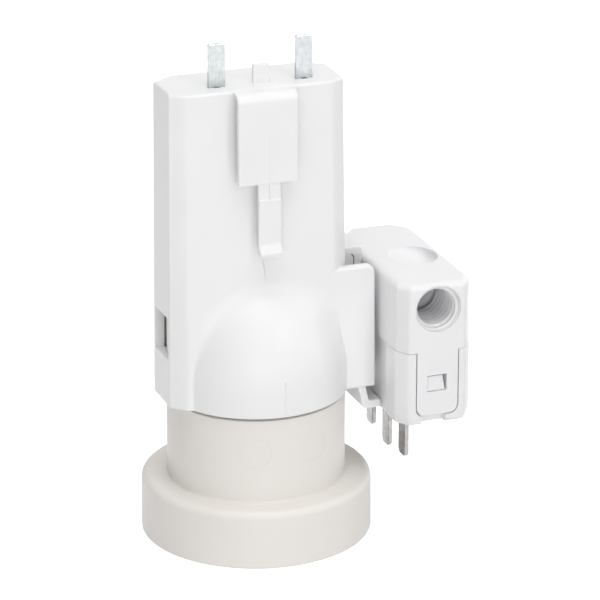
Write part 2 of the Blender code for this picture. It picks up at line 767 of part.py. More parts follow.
def make_holder():
    """The cream lamp holder: skirt ring, neck, and the spigot and catch that fix it in the housing."""
    roof_z = SKIRT_H - SKIRT_ROOF
    mouth_r = SKIRT_R_BOTTOM - SKIRT_WALL
    profile = [
        (0.0, SPIGOT_TOP_Z),
        (SPIGOT_R - SPIGOT_CHAMFER, SPIGOT_TOP_Z),
        (SPIGOT_R, SPIGOT_TOP_Z - SPIGOT_CHAMFER),
        (SPIGOT_R, SHOULDER_Z),
        (NECK_R, SHOULDER_Z),
        (NECK_R, SKIRT_H),
        *arc((SKIRT_R_TOP - SKIRT_ROUND, SKIRT_H - SKIRT_ROUND), SKIRT_ROUND, 90, 0),
        (SKIRT_R_BOTTOM, SKIRT_EDGE),
        (SKIRT_R_BOTTOM - SKIRT_EDGE, 0.0),
        (mouth_r, 0.0),
        (mouth_r - MOUTH_DRAFT, roof_z),
        (SHELL_SEAT_R, roof_z),
        (SHELL_SEAT_R, roof_z + SHELL_SEAT_H),
        (SHELL_BORE_R, roof_z + SHELL_SEAT_H),
        (SHELL_BORE_R, HOLDER_FLOOR_Z),
        (0.0, HOLDER_FLOOR_Z),
    ]
    holder = piece("lamp_holder_body", turned(profile), CREAM)
    outer = inner_wall_x(-1) + GAP
    root = CATCH_ROOT - SPIGOT_R
    front = WINDOW_FRONT_Y + GAP
    back = WINDOW_BACK_Y - GAP
    foot_z = RIM_Z + GAP
    low_z = WINDOW_LOW_Z + GAP
    outline = [
        (outer, foot_z),
        (outer, low_z),
        (outer - CATCH_REACH, low_z),
        (outer, low_z + CATCH_RISE),
        (outer, CATCH_TOP_Z),
        (outer + CATCH_T, CATCH_TOP_Z),
        (outer + CATCH_T, SPIGOT_TOP_Z - 2 * SPIGOT_CHAMFER),
        (root, SPIGOT_TOP_Z - 2 * SPIGOT_CHAMFER),
        (root, foot_z),
    ]
    join(holder, "catch", plate_xz(outline, front, back))
    for name, x in (("centre", CENTRE_SLOT_X), ("side", SIDE_SLOT_X)):
        slot = block(
            (x - CONTACT_T / 2 - GAP, -CONTACT_W / 2 - GAP, HOLDER_FLOOR_Z - OVERCUT),
            (x + CONTACT_T / 2 + GAP, CONTACT_W / 2 + GAP, SPIGOT_TOP_Z + OVERCUT),
        )
        cut(holder, f"{name}_contact_slot", slot)
    for name, x in rivet_places():
        hole = cylinder(RIVET_R + GAP, HOLDER_FLOOR_Z - OVERCUT, SPIGOT_TOP_Z + OVERCUT)
        cut(holder, f"{name}_rivet_hole", placed(hole, x))
    return holder


def rivet_places():
    """The X of each contact's rivet, midway between its tab and its slot."""
    return (
        ("centre", (CENTRE_TAB_X + CENTRE_SLOT_X) / 2),
        ("side", (SIDE_TAB_X + SIDE_SLOT_X) / 2),
    )


def shell_radius(z, angle):
    """The inner radius of the rolled thread at a height and an angle. Its first and last turns run out."""
    phase = (z - SHELL_LOW_Z) / THREAD_PITCH - angle / math.tau
    ends = min(z - SHELL_LOW_Z, SHELL_TOP_Z - SHELL_T - z) / THREAD_PITCH
    fade = max(0.0, min(1.0, 2 * ends))
    wave = (1 - math.cos(math.tau * phase)) / 2
    return THREAD_CREST_R - THREAD_DEPTH * wave * fade


def thread_ring(z, extra):
    """One ring of the shell's wall, inside or, with its thickness added, outside."""
    ring = []
    for step in range(SHELL_STEPS):
        angle = math.tau * step / SHELL_STEPS
        radius = shell_radius(z, angle) + extra
        ring.append((radius * math.cos(angle), radius * math.sin(angle), z))
    return ring


def make_shell():
    """The brass shell: a thin sleeve with a rolled thread and a flange turned in at its top."""
    under_flange = SHELL_TOP_Z - SHELL_T
    height = under_flange - SHELL_LOW_Z
    rows = round(height / THREAD_PITCH * ROWS_PER_PITCH)
    levels = [SHELL_LOW_Z + height * row / rows for row in range(rows + 1)]
    inside = [thread_ring(z, 0.0) for z in levels]
    flange = [circle(SHELL_FLANGE_R, z) for z in (under_flange, SHELL_TOP_Z)]
    outside = [thread_ring(z, SHELL_T) for z in (SHELL_TOP_Z, *levels[-2::-1])]
    return piece("screw_shell", closed_band([*inside, *flange, *outside]), BRASS)


def circle(radius, z):
    """Points round the lamp's axis, as many as on a ring of the shell."""
    turns = [math.tau * step / SHELL_STEPS for step in range(SHELL_STEPS)]
    return [(radius * math.cos(turn), radius * math.sin(turn), z) for turn in turns]


def closed_band(rings):
    """A hollow ring-shaped solid whose section runs through every ring and back to the first."""
    form = bmesh.new()
    rows = [[form.verts.new(point) for point in ring] for ring in rings]
    count = len(rows[0])
    for lower, upper in zip(rows, rows[1:] + rows[:1]):
        for index in range(count):
            after = (index + 1) % count
            form.faces.new((lower[index], lower[after], upper[after], upper[index]))
    return form


def make_contacts():
    """The two contact strips, bent from sheet, and the rivets that hold them to the holder's floor."""
    rest_z = SPIGOT_TOP_Z + GAP + CONTACT_T / 2
    under_z = HOLDER_FLOOR_Z - GAP - CONTACT_T
    centre_path = [
        (CENTRE_TAB_X, TAB_TOP_Z),
        (CENTRE_TAB_X, rest_z),
        (CENTRE_SLOT_X, rest_z),
        (CENTRE_SLOT_X, under_z),
        (CENTRE_FLAT / 2, HOLDER_FLOOR_Z - CENTRE_DIP),
        (-CENTRE_FLAT / 2, HOLDER_FLOOR_Z - CENTRE_DIP),
        (-CENTRE_FLAT / 2 - CENTRE_CURL, under_z),
    ]
    flange_rest_z = SHELL_TOP_Z + GAP + CONTACT_T / 2
    side_path = [
        (SIDE_TAB_X, TAB_TOP_Z),
        (SIDE_TAB_X, rest_z),
        (SIDE_SLOT_X, rest_z),
        (SIDE_SLOT_X, flange_rest_z),
        (-SHELL_FLANGE_R + CONTACT_T, flange_rest_z),
    ]
    grip = RIVET_HEAD_H + GAP
    for (name, x), path in zip(rivet_places(), (centre_path, side_path)):
        strip = plate_xz(ribbon(path, CONTACT_T), -CONTACT_W / 2, CONTACT_W / 2)
        contact = piece(f"{name}_contact", strip, BRIGHT)
        hole = cylinder(RIVET_R + GAP, SPIGOT_TOP_Z, SPIGOT_TOP_Z + 4 * CONTACT_T)
        cut(contact, f"{name}_contact_hole", placed(hole, x))
        top_z = rest_z + CONTACT_T / 2 + GAP
        profile = [
            (0.0, top_z + RIVET_HEAD_H),
            (RIVET_HEAD_TOP_R, top_z + RIVET_HEAD_H),
            (RIVET_HEAD_R, top_z),
            (RIVET_R, top_z),
            (RIVET_R, HOLDER_FLOOR_Z - GAP),
            (RIVET_HEAD_R, HOLDER_FLOOR_Z - GAP),
            (RIVET_HEAD_TOP_R, HOLDER_FLOOR_Z - grip),
            (0.0, HOLDER_FLOOR_Z - grip),
        ]
        piece(f"{name}_contact_rivet", placed(turned(profile, SMALL_STEPS), x), BRASS)


def blade_outline(x):
    """One blade with its bevelled tip, the shoulders inside the housing and the tail for the wire."""
    tip_z = HOUSING_TOP_Z + BLADE_H
    shoulder_z = CEILING_Z - GAP
    tail_z = shoulder_z - SHOULDER_H
    right = [
        (TAIL_W / 2, tail_z - TAIL_H),
        (TAIL_W / 2, tail_z),
        (SHOULDER_W / 2, tail_z),
        (SHOULDER_W / 2, shoulder_z),
        (BLADE_W / 2, shoulder_z),
        (BLADE_W / 2, tip_z - BLADE_TIP),
        (BLADE_W / 2 - BLADE_TIP, tip_z),
    ]
    mirrored = [(-across, z) for across, z in reversed(right)]
    return [(x + across, z) for across, z in right + mirrored]


def make_blades():
    """The live and neutral blades, the carrier under their shoulders and the wires down to the contacts."""
    half_t = BLADE_T / 2
    low_z = CARRIER_TOP_Z - CARRIER_H
    inside = HOUSING_WALL + GAP
    rings = [housing_ring(low_z, inside), housing_ring(CARRIER_TOP_Z, inside)]
    carrier = piece("blade_carrier", loft(rings), WHITE)
    tail_end_z = CEILING_Z - GAP - SHOULDER_H - TAIL_H
    tabs = {"live": CENTRE_TAB_X, "neutral": SIDE_TAB_X}
    colours = {"live": BROWN, "neutral": BLUE}
    for name, side in (("live", 1), ("neutral", -1)):
        x = side * BLADE_PITCH / 2
        piece(f"{name}_blade", plate_xz(blade_outline(x), BLADE_Y - half_t, BLADE_Y + half_t), BRIGHT)
        way = block(
            (x - TAIL_W / 2 - GAP, BLADE_Y - half_t - GAP, low_z - OVERCUT),
            (x + TAIL_W / 2 + GAP, BLADE_Y + half_t + GAP, CARRIER_TOP_Z + OVERCUT),
        )
        cut(carrier, f"{name}_tail_way", way)
        start, end = tail_end_z - GAP, TAB_TOP_Z + GAP
        route = [
            (x, BLADE_Y, start),
            (x, BLADE_Y, start - WIRE_STRAIGHT),
            ((x + tabs[name]) / 2, BLADE_Y / 2, (start + end) / 2),
            (tabs[name], 0.0, end + WIRE_STRAIGHT),
            (tabs[name], 0.0, end),
        ]
        wire(f"{name}_wire", route, colours[name])


def plug_outline(shrink=0.0, wider=0.0):
    """The spare plug's plan: a long rectangle with its corners cut."""
    half_x = PLUG_HALF_X + wider
    chamfer_x, chamfer_y = PLUG_CHAMFER_X + wider, PLUG_CHAMFER_Y
    half_y = PLUG_HALF_Y
    corners = [
        (-half_x, -half_y + chamfer_y),
        (-half_x + chamfer_x, -half_y),
        (half_x - chamfer_x, -half_y),
        (half_x, -half_y + chamfer_y),
        (half_x, half_y - chamfer_y),
        (half_x - chamfer_x, half_y),
        (-half_x + chamfer_x, half_y),
        (-half_x, half_y - chamfer_y),
    ]
    return [(PLUG_X + x, PLUG_Y + y) for x, y in inset(corners, shrink)]


def cover_ring(z, shrink=0.0):
    """One ring of the plug cover's loft."""
    return [(x, y, z) for x, y in plug_outline(shrink)]


def tongue_outline(extra, top_z):
    """The tongue that hangs from each end of the plug's cover, seen from the end."""
    half = TONGUE_SLOT_W / 2 - GAP + extra
    low_z = COVER_TONGUE_Z - extra
    radius = COVER_TONGUE_ROUND
    return [
        (PLUG_X - half, top_z),
        *arc((PLUG_X - half + radius, low_z + radius), radius, 180, 270),
        *arc((PLUG_X + half - radius, low_z + radius), radius, 270, 360),
        (PLUG_X + half, top_z),
    ]


def end_span(side, inner, outer):
    """The Y range at the plug's front (-1) or back (1) end, from one depth to another under its face."""
    face = PLUG_FRONT_Y if side < 0 else PLUG_BACK_Y
    return sorted((face - side * inner, face - side * outer))


def make_plug_cover():
    """The plug's cover: a drafted cap with a threaded cord entry, a thumb dish and two snap tongues."""
    rings = [cover_ring(COVER_TONGUE_Z), *round_top_rings(cover_ring, PLUG_TOP_Z, PLUG_ROUND)]
    cover = piece("plug_cover", loft(rings), WHITE)
    below = shaper(
        "cover_below_split",
        block(
            (PLUG_X - PLUG_W, PLUG_FRONT_Y - OVERCUT, COVER_TONGUE_Z - OVERCUT),
            (PLUG_X + PLUG_W, PLUG_BACK_Y + OVERCUT, PLUG_SPLIT_Z),
        ),
    )
    keep = tongue_outline(0.0, PLUG_SPLIT_Z + OVERCUT)
    cut(below, "tongues_kept", plate_xz(keep, PLUG_FRONT_Y - 2 * OVERCUT, PLUG_BACK_Y + 2 * OVERCUT))
    shape(cover, "DIFFERENCE", below)
    inside = [cover_ring(z, COVER_WALL) for z in (COVER_TONGUE_Z - OVERCUT, PLUG_TOP_Z - COVER_ROOF)]
    hollow = shaper("cover_inside", loft(inside))
    boss = laid_along_y(cylinder(BOSS_R, 0.0, BOSS_L + OVERCUT, ROUND_STEPS // 2))
    cut(hollow, "cord_boss", placed(boss, PLUG_X, PLUG_FRONT_Y + BOSS_L, CORD_Z))
    shape(cover, "DIFFERENCE", hollow)
    behind_tongues = block(
        (PLUG_X - TONGUE_SLOT_W / 2, PLUG_FRONT_Y + COVER_WALL, COVER_TONGUE_Z - OVERCUT),
        (PLUG_X + TONGUE_SLOT_W / 2, PLUG_BACK_Y - COVER_WALL, PLUG_SPLIT_Z),
    )
    cut(cover, "behind_tongues", behind_tongues)
    mouth_r = CORD_R + CORD_SINK
    profile = [
        (0.0, OVERCUT),
        (mouth_r + OVERCUT, OVERCUT),
        (CORD_R, -CORD_SINK),
        (CORD_R, -BOSS_L - OVERCUT),
        (0.0, -BOSS_L - OVERCUT),
    ]
    entry = laid_along_y(turned(profile, ROUND_STEPS // 2))
    cut(cover, "cord_entry", placed(entry, PLUG_X, PLUG_FRONT_Y, CORD_Z))
    dish = bmesh.new()
    bmesh.ops.create_uvsphere(dish, u_segments=32, v_segments=16, radius=1.0)
    bmesh.ops.scale(dish, vec=DISH_SIZE, verts=dish.verts)
    cut(cover, "thumb_dish", placed(dish, PLUG_X + DISH_X, DISH_Y, PLUG_TOP_Z + DISH_RAISE))
    for side, name in ((-1, "front"), (1, "back")):
        near, far = end_span(side, -OVERCUT, COVER_WALL + OVERCUT)
        left = PLUG_X + CATCH_LEFT_X
        window = block((left, near, CATCH_LOW_Z), (left + CATCH_W, far, CATCH_LOW_Z + CATCH_H))
        cut(cover, f"catch_window_{name}", window)
    return cover


def base_ring(z, shrink=0.0):
    """One ring of the plug base's loft. The base stands a little proud of the cover at its long sides."""
    return [(x, y, z) for x, y in plug_outline(shrink, BASE_PROUD)]


def make_plug_base():
    """The plug's base: a tray with channels for the cover's tongues, snap catches and three bays."""
    top_z = PLUG_SPLIT_Z - GAP
    drafted_z = PLUG_BOTTOM_Z + BASE_DRAFT_H
    rings = [base_ring(PLUG_BOTTOM_Z, BASE_DRAFT), base_ring(drafted_z), base_ring(top_z)]
    base = piece("plug_base", loft(rings), WHITE)
    floor_z = PLUG_BOTTOM_Z + BASE_FLOOR
    half_x = PLUG_HALF_X - BASE_WALL_X
    tray = block(
        (PLUG_X - half_x, PLUG_FRONT_Y + PLUG_END_WALL, floor_z),
        (PLUG_X + half_x, PLUG_BACK_Y - PLUG_END_WALL, top_z + OVERCUT),
    )
    cut(base, "tray", tray)
    for side, name in ((-1, "front"), (1, "back")):
        near, far = end_span(side, -OVERCUT, COVER_WALL + GAP)
        cut(base, f"tongue_channel_{name}", plate_xz(tongue_outline(GAP, top_z + OVERCUT), near, far))
        left = PLUG_X + CATCH_LEFT_X + GAP
        right = left + CATCH_W - 2 * GAP
        low_z, high_z = CATCH_LOW_Z + GAP, CATCH_LOW_Z + CATCH_H - GAP
        outline = [(left, low_z), (right, low_z), (right - CATCH_LEAN, high_z), (left, high_z)]
        near, far = end_span(side, GAP, COVER_WALL + 2 * GAP)
        join(base, f"snap_catch_{name}", plate_xz(outline, near, far))
        near, far = end_span(side, -OVERCUT, COVER_WALL + GAP)
        foot = block(
            (PLUG_X + FOOT_LEFT_X, near, PLUG_BOTTOM_Z - OVERCUT),
            (PLUG_X + FOOT_RIGHT_X, far, COVER_TONGUE_Z),
        )
        cut(base, f"foot_recess_{name}", foot)
        near, far = end_span(side, -OVERCUT, STOP_DEPTH)
        stop = block(
            (PLUG_X + FOOT_RIGHT_X - GAP, near, PLUG_BOTTOM_Z - OVERCUT),
            (PLUG_X + TONGUE_SLOT_W / 2 - GAP, far, PLUG_BOTTOM_Z + STOP_LIFT),
        )
        cut(base, f"stop_face_{name}", stop)
    for side, name in ((-1, "left"), (1, "right")):
        face = PLUG_X + side * (PLUG_HALF_X + BASE_PROUD)
        low_x, high_x = sorted((face + side * OVERCUT, face - side * RECESS_DEPTH))
        recess = block(
            (low_x, RECESS_FRONT_Y, PLUG_BOTTOM_Z - OVERCUT),
            (high_x, RECESS_BACK_Y, top_z + OVERCUT),
        )
        cut(base, f"side_recess_{name}", recess)
    for side, name in ((-1, "front"), (1, "back")):
        y = PIN_ROW_Y + side * PIN_PITCH / 2
        wall = block(
            (PLUG_X - half_x - GAP, y - PARTITION_T / 2, floor_z - GAP),
            (PLUG_X + half_x + GAP, y + PARTITION_T / 2, floor_z + PARTITION_H),
        )
        join(base, f"partition_{name}", wall)
    for name, y, _ in pin_places():
        slot = block(
            (PIN_X - PIN_T / 2 - GAP, y - PIN_W / 2 - GAP, PLUG_BOTTOM_Z - OVERCUT),
            (PIN_X + PIN_T / 2 + GAP, y + PIN_W / 2 + GAP, floor_z + OVERCUT),
        )
        cut(base, f"{name}_pin_slot", slot)
    return base


def pin_places():
    """The name, Y and length below the base of each pin. The earth pin in the middle is longer."""
    return (
        ("live", PIN_ROW_Y - PIN_PITCH, PIN_H),
        ("earth", PIN_ROW_Y, PIN_H + EARTH_PIN_EXTRA),
        ("neutral", PIN_ROW_Y + PIN_PITCH, PIN_H),
    )


def make_plug_contacts():
    """Each pin of the plug, with the terminal block that grips it and the block's screw."""
    block_z = PLUG_BOTTOM_Z + BASE_FLOOR + GAP
    x = PIN_X + TERMINAL_SHIFT_X
    for name, y, length in pin_places():
        tip_z = PLUG_BOTTOM_Z - length
        top_z = block_z + PIN_GRIP
        half = PIN_W / 2
        outline = [
            (y - half + PIN_TIP, tip_z),
            (y + half - PIN_TIP, tip_z),
            (y + half, tip_z + PIN_TIP),
            (y + half, top_z),
            (y - half, top_z),
            (y - half, tip_z + PIN_TIP),
        ]
        piece(f"plug_{name}_pin", plate_yz(outline, PIN_X - PIN_T / 2, PIN_X + PIN_T / 2), BRIGHT)
        terminal = piece(
            f"plug_{name}_terminal",
            block(
                (x - TERMINAL_W / 2, y - TERMINAL_L / 2, block_z),
                (x + TERMINAL_W / 2, y + TERMINAL_L / 2, block_z + TERMINAL_H),
            ),
            BRASS,
        )
        grip = block(
            (PIN_X - PIN_T / 2 - GAP, y - half - GAP, block_z - OVERCUT),
            (PIN_X + PIN_T / 2 + GAP, y + half + GAP, top_z + GAP),
        )
        cut(terminal, f"{name}_pin_grip", grip)
        wire_z = block_z + TERMINAL_WIRE_Z
        wire_way = laid_along_y(cylinder(TERMINAL_WIRE_R, -TERMINAL_L, TERMINAL_L))
        cut(terminal, f"{name}_wire_way", placed(wire_way, x, y, wire_z))
        head_z = block_z + TERMINAL_H + GAP
        hole = cylinder(SCREW_R + GAP, wire_z, head_z + OVERCUT)
        cut(terminal, f"{name}_screw_hole", placed(hole, x, y))
        profile = [
            (0.0, head_z + SCREW_HEAD_H),
            (SCREW_HEAD_R, head_z + SCREW_HEAD_H),
            (SCREW_HEAD_R, head_z),
            (SCREW_R, head_z),
            (SCREW_R, wire_z + GAP),
            (0.0, wire_z + GAP),
        ]
        screw = piece(f"plug_{name}_screw", placed(turned(profile, SMALL_STEPS), x, y), STEEL)
        slot = block(
            (x - SCREW_HEAD_R * 2, y - SCREW_SLOT_W / 2, head_z + SCREW_HEAD_H - SCREW_SLOT_H),
            (x + SCREW_HEAD_R * 2, y + SCREW_SLOT_W / 2, head_z + SCREW_HEAD_H + OVERCUT),
        )
        cut(screw, f"{name}_screw_slot", slot)


make_holder()
make_shell()
make_contacts()
make_housing()
make_blades()
make_plug_cover()
make_plug_base()
make_plug_contacts()
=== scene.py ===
"""The looks of a temporary lamp holder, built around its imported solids.

Sizes are in millimetres from the lamp's axis, as the part's own source measures them: X along the row of
blades, -Y to the front with its release latch, +Z up from the skirt's lower edge. Finished pieces are in
metres.
"""

import functools
import json
import logging
import math
import operator
from collections.abc import Callable, Sequence
from dataclasses import dataclass, field
from enum import Enum

import bmesh
import bpy
from bpy.types import Collection, Material, Mesh, NodeSocket, NodeTree, Object
from mathutils import Matrix, Vector

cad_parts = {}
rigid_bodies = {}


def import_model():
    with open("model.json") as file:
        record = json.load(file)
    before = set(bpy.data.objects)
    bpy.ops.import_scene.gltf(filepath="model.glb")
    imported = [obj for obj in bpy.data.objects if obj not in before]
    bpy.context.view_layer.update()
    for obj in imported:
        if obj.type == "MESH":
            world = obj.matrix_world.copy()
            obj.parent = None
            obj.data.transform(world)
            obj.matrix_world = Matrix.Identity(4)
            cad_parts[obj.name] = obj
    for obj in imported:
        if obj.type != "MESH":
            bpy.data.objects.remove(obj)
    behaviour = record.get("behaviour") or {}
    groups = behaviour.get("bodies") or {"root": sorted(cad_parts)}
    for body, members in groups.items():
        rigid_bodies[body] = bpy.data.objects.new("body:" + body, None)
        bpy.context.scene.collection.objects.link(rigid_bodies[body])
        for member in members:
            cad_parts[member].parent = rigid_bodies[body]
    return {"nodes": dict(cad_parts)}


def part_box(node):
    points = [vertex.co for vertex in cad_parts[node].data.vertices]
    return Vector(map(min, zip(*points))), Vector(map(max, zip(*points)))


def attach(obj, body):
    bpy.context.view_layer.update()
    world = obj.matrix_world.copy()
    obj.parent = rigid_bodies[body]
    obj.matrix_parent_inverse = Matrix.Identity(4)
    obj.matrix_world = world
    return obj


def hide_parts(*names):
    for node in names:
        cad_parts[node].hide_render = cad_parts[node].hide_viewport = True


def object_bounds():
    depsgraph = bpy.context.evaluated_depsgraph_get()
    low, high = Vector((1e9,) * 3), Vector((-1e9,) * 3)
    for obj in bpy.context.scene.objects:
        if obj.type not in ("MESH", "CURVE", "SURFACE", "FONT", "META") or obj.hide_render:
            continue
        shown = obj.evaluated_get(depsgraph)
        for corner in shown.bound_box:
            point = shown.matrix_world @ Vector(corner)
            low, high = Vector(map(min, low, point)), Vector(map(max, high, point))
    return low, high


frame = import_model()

CAD_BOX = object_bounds()
LOG = logging.getLogger("lamp_holder")
MM = 0.001
SHELL_LOW, SHELL_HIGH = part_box("screw_shell")
AXIS = (SHELL_LOW + SHELL_HIGH) / 2
# The room between pieces that snap together, and how far a cutter passes the face that it opens.
GAP = 0.3
OVERCUT = 1.0
# Edges sharper than this stay crisp, and points nearer than the weld are one.
CREASE_DEGREES = 33.0
WELD = 0.0005
PARALLEL = 1e-9

Pair = tuple[float, float]
Triple = tuple[float, float, float]
Ring = list[Vector]
Form = bmesh.types.BMesh


class Facing(Enum):
    """The way in which the thickness of a flat outline runs."""

    UP = "up"
    FRONT = "front"
    SIDE = "side"

    def at(self, across: float, along: float, level: float) -> Vector:
        """The place of an outline's point at a level of its thickness.

        Args:
            across: The point's first measure.
            along: Its second measure.
            level: The level in the thickness.

        Returns:
            The place.
        """
        places = {
            Facing.UP: (across, along, level),
            Facing.FRONT: (across, level, along),
            Facing.SIDE: (level, across, along),
        }
        return Vector(places[self])


def arc(centre: Pair, radius: float, start: float, end: float, steps: int) -> list[Pair]:
    """Points on an arc, both ends included, from one angle in degrees to another."""
    turns = [math.radians(start + (end - start) * step / steps) for step in range(steps + 1)]
    return [(centre[0] + radius * math.cos(turn), centre[1] + radius * math.sin(turn)) for turn in turns]


def fillet(before: Vector, corner: Vector, after: Vector, radius: float, steps: int) -> list[Pair]:
    """The arc that rounds a corner.

    Args:
        before: The corner before it.
        corner: The corner itself.
        after: The corner after it.
        radius: The arc's radius.
        steps: The arc's straight steps.

    Returns:
        The arc's points in order.
    """
    back, ahead = (before - corner).normalized(), (after - corner).normalized()
    opening = back.angle(ahead)
    centre = corner + (back + ahead).normalized() * (radius / math.sin(opening / 2))
    first = corner + back * (radius / math.tan(opening / 2)) - centre
    start = math.degrees(math.atan2(first.y, first.x))
    sweep = (180 - math.degrees(opening)) * (-1 if back.cross(ahead) > 0 else 1)
    return arc((centre.x, centre.y), radius, start, start + sweep, steps)


def smooth_share(value: float, low: float, high: float) -> float:
    """How far a value is from low to high, eased at both ends."""
    share = max(0.0, min(1.0, (value - low) / (high - low)))
    return share * share * (3 - 2 * share)


@dataclass(frozen=True)
class Outline:
    """A closed outline whose corners run counter-clockwise, each given with the radius that rounds it."""

    corners: tuple[Triple, ...]
    steps: int = 6
    least_round: float = 0.02

    @classmethod
    def even(cls, corners: Sequence[Pair], rounding: float, steps: int = 6) -> "Outline":
        """An outline with the same rounding at every corner."""
        return cls(tuple((across, along, rounding) for across, along in corners), steps)

    @classmethod
    def box(cls, low: Pair, high: Pair, rounding: float, steps: int = 6) -> "Outline":
        """A rectangle with rounded corners."""
        (left, bottom), (right, top) = low, high
        return cls.even([(left, bottom), (right, bottom), (right, top), (left, top)], rounding, steps)

    def shrunk(self, distance: float) -> list[Vector]:
        """The corners moved inwards by the same distance all round.

        Args:
            distance: How far each side moves.

        Returns:
            The new corners, in the same order.
        """
        ends = [Vector(corner[:2]) for corner in self.corners]
        sides = []
        for start, end in zip(ends, ends[1:] + ends[:1]):
            along = (end - start).normalized()
            sides.append((start + Vector((-along.y, along.x)) * distance, along))
        moved = []
        for (first, before), (second, after) in zip(sides[-1:] + sides, sides):
            turn = before.cross(after)
            if abs(turn) < PARALLEL:
                moved.append(second)
            else:
                moved.append(first + before * ((second - first).cross(after) / turn))
        return moved

    def points(self, distance: float = 0.0) -> list[Pair]:
        """The outline's points, moved inwards.

        Args:
            distance: How far the outline moves inwards.

        Returns:
            As many points for every distance.
        """
        moved = self.shrunk(distance)
        made: list[Pair] = []
        for index, corner in enumerate(moved):
            rounding = self.corners[index][2]
            if not rounding:
                made.append((corner.x, corner.y))
                continue
            before, after = moved[index - 1], moved[(index + 1) % len(moved)]
            outward = (before - corner).cross(after - corner) < 0
            radius = max(rounding - distance if outward else rounding + distance, self.least_round)
            made += fillet(before, corner, after, radius, self.steps)
        return made


def lofted(rings: Sequence[Ring], closed: bool = False) -> Form:
    """A solid through rings of as many points each.

    Args:
        rings: The rings in order.
        closed: Whether the last ring joins the first, instead of a cap on each.

    Returns:
        The form, with its faces outwards.
    """
    form = bmesh.new()
    rows = [[form.verts.new(point) for point in ring] for ring in rings]
    count = len(rows[0])
    for lower, upper in zip(rows, rows[1:] + (rows[:1] if closed else [])):
        for index in range(count):
            after = (index + 1) % count
            form.faces.new((lower[index], lower[after], upper[after], upper[index]))
    if not closed:
        form.faces.new(rows[0])
        form.faces.new(rows[-1])
    bmesh.ops.recalc_face_normals(form, faces=form.faces)
    return form


def edge_levels(low: float, high: float, low_round: float, high_round: float, steps: int = 5) -> list[Pair]:
    """The levels and insets that round off both ends of a thickness.

    Args:
        low: The lower end.
        high: The upper end.
        low_round: The rounding at the lower end.
        high_round: The rounding at the upper end.
        steps: The steps of each rounding.

    Returns:
        Pairs of level and inset, upwards.
    """
    levels: list[Pair] = []
    for end, inwards in ((low, low_round), (high, -high_round)):
        turns = [math.pi / 2 * step / steps for step in range(steps + 1 if inwards else 1)]
        shares = [(1 - math.sin(turn), 1 - math.cos(turn)) for turn in turns]
        levels += sorted((end + inwards * up, abs(inwards) * inset) for up, inset in shares)
    return levels


def slab(
    outline: Outline,
    facing: Facing,
    span: Pair,
    rounding: float = 0.0,
    ends: tuple[bool, bool] = (True, True),
) -> Form:
    """A plate with rounded edges.

    Args:
        outline: Its outline.
        facing: The way in which its thickness runs.
        span: The two levels between which it lies.
        rounding: The rounding of its edges.
        ends: Whether the lower and the upper face have that rounding.

    Returns:
        The form.
    """
    low, high = sorted(span)
    levels = edge_levels(low, high, rounding * ends[0], rounding * ends[1])
    return lofted([[facing.at(a, b, level) for a, b in outline.points(inset)] for level, inset in levels])


def block(low: Triple, high: Triple, rounding: float = 0.0) -> Form:
    """A box between two corners, with all its edges rounded where a rounding is given."""
    outline = Outline.box((low[0], low[1]), (high[0], high[1]), rounding)
    return slab(outline, Facing.UP, (low[2], high[2]), rounding)


def turned(profile: Sequence[Pair], steps: int = 160, share: float = 0.0) -> Form:
    """A solid turned about the upright axis.

    Args:
        profile: Its radius and height at each point, from axis to axis.
        steps: The facets all round.
        share: The share of a facet by which the whole form is turned.

    Returns:
        The form, with its faces outwards.
    """
    form = bmesh.new()
    points = [form.verts.new((radius, 0.0, height)) for radius, height in profile]
    edges = [form.edges.new(pair) for pair in zip(points, points[1:])]
    bmesh.ops.spin(
        form, geom=points + edges, cent=(0, 0, 0), axis=(0, 0, 1), angle=math.tau, steps=steps, use_merge=True
    )
    bmesh.ops.remove_doubles(form, verts=form.verts, dist=WELD)
    turn = Matrix.Rotation(share * math.tau / steps, 3, "Z")
    bmesh.ops.rotate(form, cent=(0, 0, 0), matrix=turn, verts=form.verts)
    bmesh.ops.recalc_face_normals(form, faces=form.faces)
    return form


def rounded_profile(corners: Sequence[Triple], steps: int = 5) -> list[Pair]:
    """A turned profile with its corners rounded.

    Args:
        corners: The radius, the height and the rounding of each corner, from axis to axis.
        steps: The steps of each rounding.

    Returns:
        The profile's points.
    """
    places = [Vector(corner[:2]) for corner in corners]
    profile: list[Pair] = []
    for index, (across, height, rounding) in enumerate(corners):
        if rounding:
            after = places[(index + 1) % len(places)]
            profile += fillet(places[index - 1], places[index], after, rounding, steps)
        else:
            profile.append((across, height))
    return profile


def shifted(form: Form, x: float = 0.0, y: float = 0.0, z: float = 0.0) -> Form:
    """The form, moved."""
    bmesh.ops.translate(form, vec=(x, y, z), verts=form.verts)
    return form


def laid_forward(form: Form) -> Form:
    """The upright form, turned so that its top points to the front."""
    bmesh.ops.rotate(form, cent=(0, 0, 0), matrix=Matrix.Rotation(math.radians(90), 3, "X"), verts=form.verts)
    return form


def cylinder(radius: float, span: Pair, steps: int = 64) -> Form:
    """An upright cylinder between two heights."""
    low, high = span
    return turned([(0, high), (radius, high), (radius, low), (0, low)], steps, 0.5)


def mesh_of(form: Form, name: str) -> Mesh:
    """Puts a form into a mesh, and frees the form.

    Args:
        form: The form.
        name: The mesh's name.

    Returns:
        The mesh.
    """
    mesh = bpy.data.meshes.new(name)
    form.to_mesh(mesh)
    form.free()
    return mesh


def form_of(mesh: Mesh) -> Form:
    """Takes a mesh up as a form, and removes the mesh.

    Args:
        mesh: The mesh.

    Returns:
        The form.
    """
    form = bmesh.new()
    form.from_mesh(mesh)
    bpy.data.meshes.remove(mesh)
    return form


def scratch_object(name: str, form: Form) -> Object:
    """An object that holds a form while a piece is made."""
    return bpy.data.objects.new(name, mesh_of(form, name))


